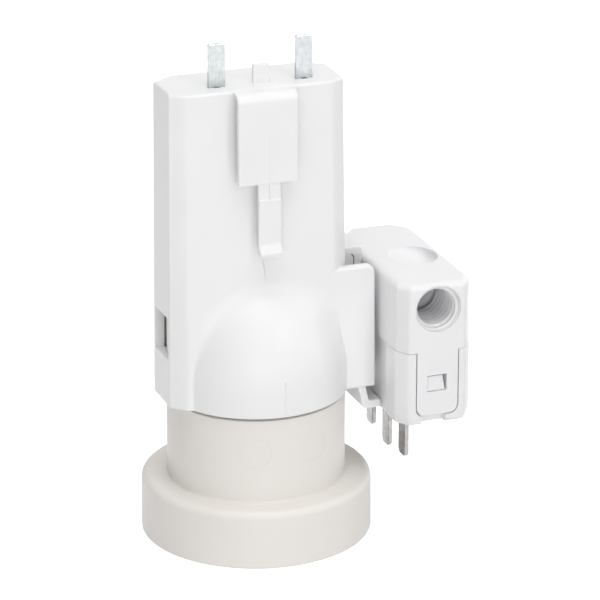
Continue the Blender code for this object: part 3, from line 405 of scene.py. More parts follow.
def evaluated_mesh(obj: Object) -> Mesh:
    """Applies an object's modifiers.

    Args:
        obj: The object.

    Returns:
        A plain mesh of what it shows.
    """
    bpy.context.view_layer.update()
    graph = bpy.context.evaluated_depsgraph_get()
    return bpy.data.meshes.new_from_object(obj.evaluated_get(graph), depsgraph=graph)


class Moulding:
    """A solid in the making, in millimetres, which other forms are joined to and cut from."""

    def __init__(self, name: str, form: Form) -> None:
        """Starts from one form.

        Args:
            name: The solid's name.
            form: The form.
        """
        self.name = name
        self.obj = scratch_object(name, form)
        bpy.context.scene.collection.objects.link(self.obj)
        self.stock: list[Collection] = []

    def shape(self, operation: str, forms: Sequence[Form]) -> "Moulding":
        """Joins or cuts several forms in one exact step.

        Args:
            operation: The kind of Boolean.
            forms: The other forms.

        Returns:
            The moulding itself.
        """
        group = bpy.data.collections.new(f"{self.name} {operation.lower()} {len(self.stock)}")
        bpy.context.scene.collection.children.link(group)
        for index, form in enumerate(forms):
            group.objects.link(scratch_object(f"{group.name} {index}", form))
        self.stock.append(group)
        step = self.obj.modifiers.new(group.name, "BOOLEAN")
        step.operation = operation
        step.solver = "EXACT"
        step.operand_type = "COLLECTION"
        step.collection = group
        return self

    def join(self, *forms: Form) -> "Moulding":
        """Joins forms to the moulding."""
        return self.shape("UNION", forms)

    def cut(self, *forms: Form) -> "Moulding":
        """Cuts forms from the moulding."""
        return self.shape("DIFFERENCE", forms)

    def form(self) -> Form:
        """Ends the shaping, and removes the scratch objects.

        Returns:
            The shaped form.
        """
        made = form_of(evaluated_mesh(self.obj))
        for group in self.stock:
            for obj in list(group.objects):
                bpy.data.meshes.remove(obj.data)
            bpy.data.collections.remove(group)
        bpy.data.meshes.remove(self.obj.data)
        return made


def finished(name: str, form: Form, material: Material, nodes: Sequence[str]) -> Object:
    """Turns a form in millimetres into a finished piece of the object.

    Args:
        name: The piece's name.
        form: Its form, measured from the lamp's axis.
        material: Its material.
        nodes: The solids for which it stands.

    Returns:
        The piece.
    """
    bmesh.ops.remove_doubles(form, verts=form.verts, dist=WELD)
    bmesh.ops.dissolve_degenerate(form, edges=form.edges, dist=WELD)
    bmesh.ops.recalc_face_normals(form, faces=form.faces)
    place = Matrix.Translation((AXIS.x, AXIS.y, 0.0)) @ Matrix.Scale(MM, 4)
    bmesh.ops.transform(form, matrix=place, verts=form.verts)
    mesh = mesh_of(form, name)
    mesh.materials.append(material)
    mesh.polygons.foreach_set("material_index", [0] * len(mesh.polygons))
    mesh.shade_smooth()
    mesh.set_sharp_from_angle(angle=math.radians(CREASE_DEGREES))
    piece = bpy.data.objects.new(name, mesh)
    bpy.context.scene.collection.objects.link(piece)
    weighted = piece.modifiers.new("even_shading", "WEIGHTED_NORMAL")
    weighted.keep_sharp = True
    plain = evaluated_mesh(piece)
    piece.modifiers.remove(weighted)
    piece.data = plain
    bpy.data.meshes.remove(mesh)
    plain.name = name
    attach(piece, "root")
    if nodes:
        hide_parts(*nodes)
    LOG.info("%s: %d faces", name, len(plain.polygons))
    return piece


class Nodes:
    """A node tree in the making."""

    def __init__(self, tree: NodeTree) -> None:
        """Wraps the tree."""
        self.tree = tree

    def feed(self, slot: NodeSocket, value: object) -> None:
        """Links an input to a number or a socket, or sets it to a plain value.

        Args:
            slot: The input.
            value: What it gets.
        """
        source = value.socket if isinstance(value, Number) else value
        if isinstance(source, NodeSocket):
            self.tree.links.new(source, slot)
        else:
            slot.default_value = source

    def add(self, kind: str, inputs: dict | None = None, **settings: object) -> bpy.types.NodeOutputs:
        """Adds a node.

        Args:
            kind: The node's type.
            inputs: What its inputs get, by their names or places.
            settings: Its other settings.

        Returns:
            The node's outputs.
        """
        node = self.tree.nodes.new(kind)
        for name, value in settings.items():
            setattr(node, name, value)
        for name, value in (inputs or {}).items():
            self.feed(node.inputs[name], value)
        return node.outputs


class Number:
    """A number in a node tree, which sums and products can be written with."""

    def __init__(self, nodes: Nodes, socket: NodeSocket) -> None:
        """Wraps a socket of the tree."""
        self.nodes = nodes
        self.socket = socket

    def math(self, operation: str, *others: "Number | float") -> "Number":
        """A math node on this number and others."""
        inputs = dict(enumerate((self, *others)))
        return Number(self.nodes, self.nodes.add("ShaderNodeMath", inputs, operation=operation)[0])

    def __add__(self, other: "Number | float") -> "Number":
        """The sum."""
        return self.math("ADD", other)

    def __sub__(self, other: "Number | float") -> "Number":
        """The difference."""
        return self.math("SUBTRACT", other)

    def __mul__(self, other: "Number | float") -> "Number":
        """The product."""
        return self.math("MULTIPLY", other)

    def __truediv__(self, other: "Number | float") -> "Number":
        """The quotient."""
        return self.math("DIVIDE", other)

    def mapped(self, low: float, high: float, to_low: float = 0.0, to_high: float = 1.0) -> "Number":
        """The number carried from one range to another, and kept within it."""
        inputs = dict(enumerate((self, low, high, to_low, to_high)))
        return Number(self.nodes, self.nodes.add("ShaderNodeMapRange", inputs)[0])


class Sheet(Nodes):
    """A material in the making, with the few kinds of node that the finishes share."""

    def __init__(self, name: str) -> None:
        """Starts a material with its shader and the object's own coordinates.

        Args:
            name: The material's name.
        """
        self.material = bpy.data.materials.new(name)
        self.material.use_nodes = True
        super().__init__(self.material.node_tree)
        self.shader = self.tree.nodes["Principled BSDF"]
        self.place = self.add("ShaderNodeTexCoord")["Object"]

    def noise(self, scale: float, detail: float, stretch: Triple = (1, 1, 1)) -> Number:
        """Noise on the object's coordinates.

        Args:
            scale: Its scale, per metre.
            detail: Its levels of detail.
            stretch: The scale's share along each axis.

        Returns:
            The noise, from 0 to 1.
        """
        place = self.add("ShaderNodeMapping", {"Vector": self.place, "Scale": stretch})[0]
        noise = self.add("ShaderNodeTexNoise", {"Vector": place, "Scale": scale, "Detail": detail})
        return Number(self, noise["Fac"])

    def mixed(self, share: Number, first: Triple, second: Triple) -> NodeSocket:
        """A colour between two, by a share."""
        inputs = {"Factor": share, "A": (*first, 1.0), "B": (*second, 1.0)}
        return self.add("ShaderNodeMix", inputs, data_type="RGBA")["Result"]

    def put(self, **values: object) -> None:
        """Sets or links the shader's inputs, with _ for a space in a name."""
        for name, value in values.items():
            self.feed(self.shader.inputs[name.replace("_", " ")], value)

    def relief(self, height: Number, distance: float, soften: float) -> None:
        """Gives the surface a fine relief, with its creases softened.

        Args:
            height: The relief, from 0 to 1.
            distance: Its depth in metres.
            soften: The radius in metres by which the creases are softened.
        """
        bevel = self.add("ShaderNodeBevel", {"Radius": soften}, samples=6)[0]
        inputs = {"Distance": distance, "Height": height, "Normal": bevel}
        self.put(Normal=self.add("ShaderNodeBump", inputs)[0])


@dataclass(frozen=True)
class MouldedPlastic:
    """A moulded plastic whose colour drifts a little and whose skin has a very fine grain."""

    name: str
    colour: Triple
    drift: Triple
    roughness: Pair
    grain: float
    soften: float = 0.00022
    broad_scale: float = 45.0
    fine_scale: float = 2600.0
    noise_span: Pair = (0.3, 0.7)

    def build(self) -> Material:
        """Builds the material.

        Returns:
            The material.
        """
        sheet = Sheet(self.name)
        broad = sheet.noise(self.broad_scale, 2.0)
        fine = sheet.noise(self.fine_scale, 3.0)
        wavy = sheet.noise(self.broad_scale * 3, 1.0)
        sheet.put(
            Base_Color=sheet.mixed(broad.mapped(*self.noise_span), self.drift, self.colour),
            Roughness=(broad * 0.5 + fine * 0.5).mapped(*self.noise_span, *self.roughness),
            IOR=1.48,
        )
        sheet.relief(fine * 0.35 + wavy * 0.65, self.grain, self.soften)
        return sheet.material


@dataclass(frozen=True)
class PlatedMetal:
    """Rolled and plated metal strip: faint streaks along its length and a mottled, uneven shine."""

    name: str
    colour: Triple
    dull: Triple
    roughness: Pair
    streak: float
    soften: float = 0.0001
    mottle_scale: float = 900.0
    streak_scale: float = 260.0
    streak_stretch: Triple = (12.0, 12.0, 1.0)
    noise_span: Pair = (0.35, 0.65)

    def build(self) -> Material:
        """Builds the material.

        Returns:
            The material.
        """
        sheet = Sheet(self.name)
        mottle = sheet.noise(self.mottle_scale, 4.0)
        streaks = sheet.noise(self.streak_scale, 3.0, self.streak_stretch)
        shine = (mottle * 0.6 + streaks * 0.4).mapped(*self.noise_span)
        smooth, rough = self.roughness
        sheet.put(
            Base_Color=sheet.mixed(shine, self.dull, self.colour),
            Roughness=shine.mapped(0.0, 1.0, rough, smooth),
            Metallic=1.0,
        )
        sheet.relief(streaks * 0.7 + mottle * 0.3, self.streak, self.soften)
        return sheet.material


class Finishes:
    """Every material of the object, built once."""

    def __init__(self) -> None:
        """Builds them."""
        self.white = MouldedPlastic(
            "white_plastic", (0.87, 0.87, 0.875), (0.85, 0.852, 0.855), (0.30, 0.40), 0.000012
        ).build()
        self.plug_white = MouldedPlastic(
            "plug_white_plastic", (0.86, 0.86, 0.87), (0.84, 0.84, 0.85), (0.26, 0.36), 0.000012
        ).build()
        self.cream = MouldedPlastic(
            "cream_plastic", (0.83, 0.80, 0.765), (0.81, 0.782, 0.742), (0.38, 0.48), 0.000016
        ).build()
        self.plating = PlatedMetal(
            "bright_plating", (0.55, 0.578, 0.583), (0.43, 0.458, 0.462), (0.26, 0.38), 0.000004
        ).build()
        self.pin_plating = PlatedMetal(
            "pin_plating", (0.42, 0.41, 0.405), (0.30, 0.292, 0.285), (0.24, 0.36), 0.000004
        ).build()
        self.brass = PlatedMetal(
            "bare_brass", (0.80, 0.62, 0.32), (0.66, 0.48, 0.22), (0.22, 0.40), 0.000006
        ).build()
        self.steel = PlatedMetal(
            "plated_steel", (0.66, 0.66, 0.68), (0.52, 0.52, 0.54), (0.28, 0.42), 0.000006
        ).build()
        self.brown = MouldedPlastic(
            "brown_sleeve", (0.20, 0.09, 0.05), (0.17, 0.07, 0.04), (0.45, 0.55), 0.00001
        ).build()
        self.blue = MouldedPlastic(
            "blue_sleeve", (0.05, 0.15, 0.50), (0.04, 0.12, 0.42), (0.45, 0.55), 0.00001
        ).build()


@dataclass
class RolledThread:
    """A threaded sleeve that a Geometry Nodes tree makes from its sizes."""

    crest: float
    depth: float
    pitch: float
    span: Pair
    wall: float
    run_out: float = 0.5
    sharpness: float = 1.0
    turn_steps: int = 144
    rows_per_pitch: int = 20

    INPUTS = (
        ("Crest Radius", "NodeSocketFloat"),
        ("Depth", "NodeSocketFloat"),
        ("Pitch", "NodeSocketFloat"),
        ("Length", "NodeSocketFloat"),
        ("Run Out", "NodeSocketFloat"),
        ("Sharpness", "NodeSocketFloat"),
        ("Turn Steps", "NodeSocketInt"),
        ("Rows", "NodeSocketInt"),
        ("Material", "NodeSocketMaterial"),
    )

    @classmethod
    def tree(cls) -> NodeTree:
        """Builds the tree that bends a grid into the threaded wall, once.

        Returns:
            The Geometry Nodes tree.
        """
        known = bpy.data.node_groups.get("rolled_thread")
        if known:
            return known
        tree = bpy.data.node_groups.new("rolled_thread", "GeometryNodeTree")
        for name, kind in cls.INPUTS:
            tree.interface.new_socket(name, in_out="INPUT", socket_type=kind)
        tree.interface.new_socket("Geometry", in_out="OUTPUT", socket_type="NodeSocketGeometry")
        nodes = Nodes(tree)
        given = nodes.add("NodeGroupInput")
        counts = {"Vertices X": given["Turn Steps"], "Vertices Y": given["Rows"]}
        grid = nodes.add("GeometryNodeMeshGrid", {"Size X": 1.0, "Size Y": 1.0, **counts})
        floats = (Number(nodes, given[name]) for name, kind in cls.INPUTS if kind == "NodeSocketFloat")
        crest, depth, pitch, length, run_out, sharpness = floats
        parts = nodes.add("ShaderNodeSeparateXYZ", {0: nodes.add("GeometryNodeInputPosition")[0]})
        share = Number(nodes, parts["X"]) + 0.5
        height = (Number(nodes, parts["Y"]) + 0.5) * length
        wave = ((height / pitch - share) * math.tau).math("COSINE") * -0.5 + 0.5
        to_end = height.math("MINIMUM", length - height)
        fade = (to_end / (pitch * run_out)).mapped(0.0, 1.0)
        radius = crest - wave.math("POWER", sharpness) * fade * depth
        turn = share * math.tau
        places = {"X": radius * turn.math("COSINE"), "Y": radius * turn.math("SINE"), "Z": height}
        bent = nodes.add("ShaderNodeCombineXYZ", places)[0]
        wall = nodes.add("GeometryNodeSetPosition", {"Geometry": grid["Mesh"], "Position": bent})[0]
        sealed = nodes.add("GeometryNodeMergeByDistance", {"Geometry": wall, "Distance": WELD})[0]
        real = nodes.add("GeometryNodeRealizeInstances", {"Geometry": sealed})[0]
        dressed = nodes.add("GeometryNodeSetMaterial", {"Geometry": real, "Material": given["Material"]})[0]
        nodes.add("NodeGroupOutput", {"Geometry": dressed})
        return tree

    def build(self, material: Material) -> Form:
        """Builds the sleeve, upright on the axis.

        Args:
            material: Its material.

        Returns:
            Its form, with its wall's thickness.
        """
        low, high = self.span
        rows = round((high - low) / self.pitch * self.rows_per_pitch) + 1
        sizes = (self.crest, self.depth, self.pitch, high - low, self.run_out, self.sharpness)
        holder = scratch_object("sleeve", bmesh.new())
        bpy.context.scene.collection.objects.link(holder)
        nodes = holder.modifiers.new("rolled_thread", "NODES")
        nodes.node_group = self.tree()
        sockets = [item for item in nodes.node_group.interface.items_tree if item.in_out == "INPUT"]
        for socket, value in zip(sockets, (*sizes, self.turn_steps + 1, rows, material)):
            nodes[socket.identifier] = value
        form = form_of(evaluated_mesh(holder))
        bpy.data.objects.remove(holder)
        bmesh.ops.recalc_face_normals(form, faces=form.faces)
        sample = next(iter(form.faces))
        if sample.normal.dot(Vector((*sample.calc_center_median().xy, 0.0))) < 0:
            bmesh.ops.reverse_faces(form, faces=form.faces)
        bmesh.ops.solidify(form, geom=form.faces, thickness=-self.wall)
        bmesh.ops.recalc_face_normals(form, faces=form.faces)
        return shifted(form, z=low)


@dataclass
class LampSocket:
    """The cream lamp holder with its skirt, neck, spigot and catch, and the brass shell inside it."""

    skirt_bottom: float = 26.0
    skirt_top: float = 25.9
    skirt_height: float = 13.3
    skirt_round: float = 1.6
    skirt_wall: float = 3.1
    skirt_roof: float = 3.5
    mouth_draft: float = 0.8
    neck: float = 20.05
    shoulder: float = 32.8
    spigot: float = 18.1
    floor: float = 37.4
    spigot_top: float = 41.4
    shell_bore: float = 14.0
    shell_seat: float = 13.3
    catch_face: float = -19.86
    catch_root: float = 2.94
    catch_wall: float = 1.8
    catch_levels: Triple = (33.7, 40.2, 55.5)
    catch_depth: Pair = (-5.0, 2.5)
    catch_round: float = 0.15
    barb: tuple[Triple, Triple] = ((-21.1, -4.8, 44.9), (-19.0, -0.9, 53.6))
    barb_round: float = 0.2
    mark_middles: Pair = (-6.8, 6.6)
    mark_height: float = 25.0
    mark_radius: float = 3.35
    mark_sink: float = 0.06
    contact_middles: Pair = (4.2, -12.6)
    contact_half: Pair = (0.55, 2.8)
    rivet_middles: Pair = (6.6, -9.5)
    rivet_hole: float = 1.3
    thread_crest: float = 13.3
    thread_depth: float = 1.0
    thread_pitch: float = 3.629
    shell_wall: float = 0.4
    flange: Pair = (11.2, 13.55)
    finishes: Finishes = field(kw_only=True)

    def profile(self) -> list[Pair]:
        """Draws the holder's turned profile, from the top of the spigot round to the floor inside.

        Returns:
            The profile's points.
        """
        roof = self.skirt_height - self.skirt_roof
        mouth = self.skirt_bottom - self.skirt_wall
        corners = [
            (0.0, self.spigot_top, 0.0),
            (self.spigot, self.spigot_top, 0.6),
            (self.spigot, self.shoulder, 0.0),
            (self.neck, self.shoulder, 0.25),
            (self.neck, self.skirt_height, 0.35),
            (self.skirt_top, self.skirt_height, self.skirt_round),
            (self.skirt_bottom, 0.0, 0.45),
            (mouth, 0.0, 0.4),
            (mouth - self.mouth_draft, roof, 0.8),
            (self.shell_seat, roof, 0.3),
            (self.shell_seat, roof + 1.0, 0.0),
            (self.shell_bore, roof + 1.0, 0.0),
            (self.shell_bore, self.floor, 0.0),
            (0.0, self.floor, 0.0),
        ]
        return rounded_profile(corners)

    def neck_mark(self, x: float) -> Form:
        """Makes the cutter of a shallow round recess in the neck's front, whose floor follows the neck.

        Args:
            x: The recess's middle.

        Returns:
            The cutter.
        """
        disc = laid_forward(cylinder(self.mark_radius, (self.neck * 0.7, self.neck + OVERCUT), 96))
        shifted(disc, x=x, z=self.mark_height)
        sunk, low, high = self.neck - self.mark_sink, self.skirt_height, self.shoulder
        core = turned([(0, high), (sunk, high), (sunk, low), (0, low)], 240)
        return Moulding(f"neck_mark_{x:.0f}", disc).cut(core).form()

    def catch(self) -> Form:
        """Makes the springy catch that shows in the housing's window.

        Returns:
            The form.
        """
        outer = self.catch_face
        root, inner = outer + self.catch_root, outer + self.catch_wall
        low, step, high = self.catch_levels
        corners = [(outer, low), (root, low), (root, step), (inner, step), (inner, high), (outer, high)]
        outline = Outline.even(corners, self.catch_round, 3)
        return slab(outline, Facing.FRONT, self.catch_depth, self.catch_round)

    def contact_ways(self) -> list[Form]:
        """Makes the cutters of the slots for the contacts and of the holes for their rivets.

        Returns:
            The cutters.
        """
        low, high = self.floor - OVERCUT, self.spigot_top + OVERCUT
        across, deep = self.contact_half
        slots = [block((x - across, -deep, low), (x + across, deep, high)) for x in self.contact_middles]
        return slots + [shifted(cylinder(self.rivet_hole, (low, high), 32), x=x) for x in self.rivet_middles]

    def build(self) -> list[Object]:
        """Builds the holder and its shell.

        Returns:
            The pieces.
        """
        name = "lamp_holder_moulding"
        holder = Moulding(name, turned(self.profile(), 224))
        holder.join(self.catch(), block(*self.barb, self.barb_round))
        holder.cut(*self.contact_ways(), *(self.neck_mark(x) for x in self.mark_middles))
        piece = finished(name, holder.form(), self.finishes.cream, ["lamp_holder_body"])
        return [piece, self.shell()]

    def shell(self) -> Object:
        """Builds the brass shell with its rolled thread and the flange at its top.

        Returns:
            The piece.
        """
        low, high = SHELL_LOW.z / MM, SHELL_HIGH.z / MM
        span = (low, high - self.shell_wall / 2)
        thread = RolledThread(self.thread_crest, self.thread_depth, self.thread_pitch, span, self.shell_wall)
        inner, outer = self.flange
        under = high - self.shell_wall
        corners = [(inner, under, 0.1), (outer, under, 0.0), (outer, high, 0.12), (inner, high, 0.1)]
        turns = [math.tau * step / thread.turn_steps for step in range(thread.turn_steps)]
        rings = [
            [Vector((radius * math.cos(turn), radius * math.sin(turn), height)) for turn in turns]
            for radius, height in rounded_profile(corners, 3)
        ]
        shell = Moulding("threaded_shell", thread.build(self.finishes.brass))
        shell.join(lofted(rings, closed=True))
        return finished("threaded_shell", shell.form(), self.finishes.brass, ["screw_shell"])


@dataclass
class Housing:
    """The white housing: a tapered box that swells into a dome over the socket, with latch, key and clip."""

    rim: float = 33.4
    top: float = 105.3
    middle: float = -1.6
    half: float = 20.0
    front: float = -8.1
    back: float = 7.9
    crown: float = 0.4
    front_cut: Pair = (3.3, 2.0)
    front_corner: float = 0.45
    cut_lean: float = 0.018
    crease: float = 0.45
    back_cut: Pair = (4.8, 3.2)
    back_corner: float = 0.6
    side_draft: float = 0.011
    front_draft: float = 0.026
    side_band: float = 0.3
    top_round: float = 0.75
    rim_round: float = 0.35
    wall: float = 2.1
    room_cut: float = 3.6
    room_back_cut: Pair = (2.6, 1.7)
    dome: float = 20.6
    dome_centre: float = 38.3
    dome_height: float = 24.2
    dome_crisp: float = 0.3
    dome_soft: float = 2.6
    dome_ease: Pair = (3.0, 14.0)
    window: tuple[Pair, Pair] = ((-5.5, 3.4), (44.4, 54.0))
    notch_height: float = 4.0
    crown_steps: int = 110
    side_steps: int = 8
    round_steps: int = 6
    dome_steps: int = 80
    blade_pitch: float = 20.0
    blade_y: float = -3.85
    key: Pair = (-1.75, 1.95)
    key_height: float = 4.2
    latch_middle: float = -1.0
    latch_width: float = 13.6
    latch_out: float = 3.9
    latch_thick: float = 1.2
    latch_low: float = 84.7
    tongue_middle: float = -0.7
    tongue_width: float = 5.15
    tongue_low: float = 68.2
    ridge: float = 81.0
    wing_left: float = 13.5
    wing_right: float = 25.0
    wing_top: float = 62.1
    wing_thick: float = 1.8
    rib_thick: float = 1.8
    rib_back: float = 3.7
    clip_left: float = 21.0
    clip_thick: float = 1.6
    plug_left: float = 26.1
    plug_top: float = 60.8
    plug_bottom: float = 27.8
    jaw_over: float = 2.1
    jaw_height: float = 5.3
    finishes: Finishes = field(kw_only=True)

    def half_at(self, height: float) -> float:
        """Half the box's width at a height."""
        return self.half + self.side_draft * (self.top - height)

    def front_at(self, height: float) -> float:
        """How far to the front the edges of its front lie at a height."""
        return self.front - self.front_draft * (self.top - height)

    def outline(self, height: float) -> Outline:
        """The box's plan at a height, with the many points of its crowned front.

        Args:
            height: The height above the skirt's lower edge.

        Returns:
            The outline.
        """
        half, front = self.half_at(height), self.front_at(height)
        left, right = self.middle - half, self.middle + half
        reach = self.front_cut[0]
        fall = self.front_cut[1] + self.cut_lean * (self.top - height)
        side_front, side_back = front + fall, self.back - self.back_cut[1]
        corners: list[Triple] = [(left, side_front, self.front_corner)]
        for step in range(self.crown_steps + 1):
            across = 2 * step / self.crown_steps - 1
            x = (half - 0.6) * across
            past = abs(x) - (half - reach)
            eased = (past + math.hypot(past, self.crease)) / 2
            y = front - self.crown * (1 - across**2) + fall * eased / reach
            corners.append((self.middle + x, y, 0.0))
        rise = [(side_back - side_front) * share / self.side_steps for share in range(1, self.side_steps)]
        corners.append((right, side_front, self.front_corner))
        corners += [(right, side_front + up, 0.0) for up in rise]
        corners.append((right, side_back, self.back_corner))
        back_flat = half - self.back_cut[0]
        steps = self.crown_steps // 2
        shares = [1 - 2 * step / steps for step in range(steps + 1)]
        corners += [(self.middle + back_flat * share, self.back, 0.0) for share in shares]
        corners.append((left, side_back, self.back_corner))
        corners += [(left, side_back - up, 0.0) for up in rise]
        return Outline(tuple(corners), 4)

    def ring(self, height: float, inset: float = 0.0) -> Ring:
        """One ring of the housing's skin: the box's plan, swollen to the dome's circle where that is wider.

        Args:
            height: The ring's height.
            inset: How far the skin is moved inwards.

        Returns:
            The ring's points.
        """
        up = max(0.0, height - self.dome_centre) * self.dome / self.dome_height
        blend = self.dome_crisp + (self.dome_soft - self.dome_crisp) * smooth_share(up, *self.dome_ease)
        side = self.half_at(height) - inset - self.side_band
        ring = []
        for x, y in self.outline(height).points(inset):
            away = math.hypot(x, y)
            facing = abs(x if abs(x - self.middle) > side else y) / away
            swollen = away + self.swell(away, up, facing, self.dome - inset, blend)
            ring.append(Vector((x * swollen / away, y * swollen / away, height)))
        return ring

    @staticmethod
    def swell(away: float, up: float, facing: float, radius: float, blend: float) -> float:
        """How far the skin stands out of the box, where the dome takes over through a fillet.

        Args:
            away: How far the box's face is from the lamp's axis here.
            up: How far the place is above the dome's centre, as on a round dome.
            facing: How squarely the box's face looks away from the axis.
            radius: The dome's radius.
            blend: The breadth of the fillet.

        Returns:
            The distance, straight away from the axis.
        """
        low, high, near_enough = 0.0, radius, 0.002
        if math.hypot(away, up) - radius >= blend:
            return low
        while high - low > near_enough:
            middle = (low + high) / 2
            dome = math.hypot(away + middle, up) - radius
            face = middle * facing
            eased = max(blend - abs(dome - face), 0.0) ** 2 / (4 * blend)
            if min(dome, face) - eased < 0:
                low = middle
            else:
                high = middle
        return high

    def skin(self) -> Form:
        """Makes the outside of the box and its dome, as one loft.

        Returns:
            The form.
        """
        levels = edge_levels(self.rim, self.top, self.rim_round, self.top_round, self.round_steps)
        low, high = levels[:self.round_steps + 1], levels[self.round_steps + 1:]
        start, end = low[-1][0], high[0][0]
        dome_top = self.dome_centre + self.dome_height + 2.5
        steps = self.dome_steps
        between = [(start + (dome_top - start) * step / steps, 0.0) for step in range(1, steps + 1)]
        upper = [(dome_top + (end - dome_top) * share / 4, 0.0) for share in range(1, 4)]
        return lofted([self.ring(level, inset) for level, inset in (*low, *between, *upper, *high)])

    def room(self, height: float) -> Ring:
        """The plan of the room inside the box.

        Args:
            height: The height of the plan.

        Returns:
            The plan's points.
        """
        half = self.half_at(height) - self.wall
        front, back = self.front_at(height) + self.wall, self.back - self.wall
        front_flat, back_flat = half - self.room_cut, half - self.room_back_cut[0]
        side_front = front + self.front_cut[1] + self.cut_lean * (self.top - height)
        side_back = back - self.room_back_cut[1]
        corners = (
            (-half, side_front), (-front_flat, front), (front_flat, front), (half, side_front),
            (half, side_back), (back_flat, back), (-back_flat, back), (-half, side_back),
        )
        plan = Outline.even([(self.middle + x, y) for x, y in corners], 0.5, 3)
        return [Vector((x, y, height)) for x, y in plan.points()]

    def inside(self) -> list[Form]:
        """Makes the cutters of the room inside the box and inside the dome.

        Returns:
            The cutters.
        """
        box = lofted([self.room(level) for level in (self.rim + 3.0, self.top - self.wall)])
        radius, low = self.dome - self.wall, self.rim - OVERCUT
        curve = arc((0.0, self.dome_centre), radius, 90, 0, 30)
        dome = turned([(0.0, self.dome_centre + radius), *curve[1:], (radius, low), (0.0, low)], 128)
        return [box, dome]

    def latch_plate(self) -> Form:
        """Makes the wide upper plate of the release latch, bent over from the top.

        Returns:
            The form.
        """
        high, edge = self.top - 0.2, 0.22
        out = self.front - self.latch_out
        inner = out + self.latch_thick
        root = self.front + self.wall / 2
        corners = (
            (root, high, 0.0), (out, high, 2.2), (out, self.latch_low, edge), (inner, self.latch_low, edge),
            (inner, high - self.latch_thick, 1.0), (root, high - self.latch_thick, 0.0),
        )
        half = self.latch_width / 2
        span = (self.latch_middle - half, self.latch_middle + half)
        return slab(Outline(corners, 8), Facing.SIDE, span, edge)

    def latch_tongue(self) -> Form:
        """Makes the narrow tongue below the plate, with a ridge across it and a flared lip.

        Returns:
            The form.
        """
        out = self.front - self.latch_out
        inner = out + self.latch_thick
        root, ridge, lip = self.latch_low + 2.4, self.ridge, self.tongue_low
        corners = (
            (inner - 0.15, root, 0.1), (out + 0.15, root, 0.1), (out + 0.28, ridge + 0.25, 0.3),
            (out - 0.15, ridge - 0.1, 0.15), (out + 0.02, lip + 2.7, 1.2), (out - 1.35, lip + 0.85, 0.35),
            (out - 1.0, lip, 0.35), (inner - 0.5, lip + 0.5, 1.0), (inner - 0.15, lip + 2.9, 2.0),
        )
        half = self.tongue_width / 2
        span = (self.tongue_middle - half, self.tongue_middle + half)
        return slab(Outline(corners, 6), Facing.SIDE, span, 0.2)

    def wing(self) -> Form:
        """Makes the plate that carries the front on to the right, and leans it as the front leans.

        Returns:
            The form.
        """
        left, right, low, high = self.wing_left, self.wing_right, self.rim, self.wing_top
        outline = Outline(((left, low, 0.4), (right, low, 0.5), (right, high, 2.0), (left, high, 1.0)), 8)
        face = self.front_at(self.rim) - 0.06
        form = slab(outline, Facing.FRONT, (face, face + self.wing_thick), 0.75, (True, False))
        for vert in form.verts:
            vert.co.y += self.front_draft * (vert.co.z - self.rim)
        return form

    def clip(self) -> list[Form]:
        """Makes what holds the spare plug: a web behind the wing with two ribs, both jaws and the finger.

        Returns:
            The forms.
        """
        left, right = self.clip_left, self.clip_left + self.clip_thick
        root, low = self.middle + self.half - 1.0, self.rim
        rib = self.plug_top - 9.6
        jaw = self.plug_top + self.jaw_over - self.jaw_height
        middle = left + self.clip_thick / 2
        return [
            block((root, self.front, low), (right, self.rib_back, low + self.rib_thick), 0.2),
            block((root, self.front, rib), (middle, self.rib_back, rib + self.rib_thick), 0.2),
            block((left + 0.05, self.front - 0.3, low + 0.9), (right - 0.05, 11.7, jaw), 0.15),
            self.lower_jaw(), self.upper_jaw(), self.finger(),
        ]

    def lower_jaw(self) -> Form:
        """Makes the jaw that runs down from the web and under the plug's left edge.

        Returns:
            The form.
        """
        web, end = self.clip_left + self.clip_thick / 2, self.plug_left + 0.25
        left, right = web - 0.9, web + 0.9
        low, high = self.plug_bottom + 0.4, self.plug_bottom + 2.2
        root = self.rim + self.rib_thick
        corners = (
            (left, root, 0.1), (left, self.rim, 0.6), (web + 0.35, low, 0.8), (end, low, 0.3),
            (end, high, 0.3), (web + 1.75, high, 0.5), (right, self.rim + 0.1, 0.5), (right, root, 0.1),
        )
        return slab(Outline(corners, 5), Facing.FRONT, (self.front_at(self.rim) + 0.3, 1.2), 0.2)

    def upper_jaw(self) -> Form:
        """Makes the jaw that hooks over the plug's upper left edge.

        Returns:
            The form.
        """
        left, right, edge = self.clip_left, self.clip_left + self.clip_thick, self.plug_left - 0.1
        high = self.plug_top + self.jaw_over
        low = high - self.jaw_height
        foot = low - 4.8
        corners = (
            (left, foot, 0.1), (right, foot, 0.1), (right, low, 0.3), (edge, low, 0.3), (edge, high, 0.7),
            (left, high, 0.9),
        )
        return slab(Outline(corners, 6), Facing.FRONT, (1.5, 12.0), 0.35)

    def jaw_slit(self) -> Form:
        """Makes the cutter of the thin slit in the upper jaw's front, bent over at its top.

        Returns:
            The cutter.
        """
        left, low, high = self.plug_left - 2.3, self.plug_top - 4.0, self.plug_top - 0.2
        corners = (
            (left, low), (left + 0.28, low), (left + 0.28, high), (left - 0.35, high + 0.62),
            (left - 0.55, high + 0.42), (left, high - 0.12),
        )
        return slab(Outline.even(corners, 0.04, 3), Facing.FRONT, (-0.5, 4.5))

    def finger(self) -> Form:
        """Makes the small finger that hooks over the plug's top edge.

        Returns:
            The form.
        """
        low, high = self.plug_top - 0.1, self.plug_top + 1.3
        outline = Outline.box((self.plug_left - 1.8, low), (self.plug_left + 1.1, high), 0.7, 8)
        return slab(outline, Facing.FRONT, (8.9, 11.6), 0.5)

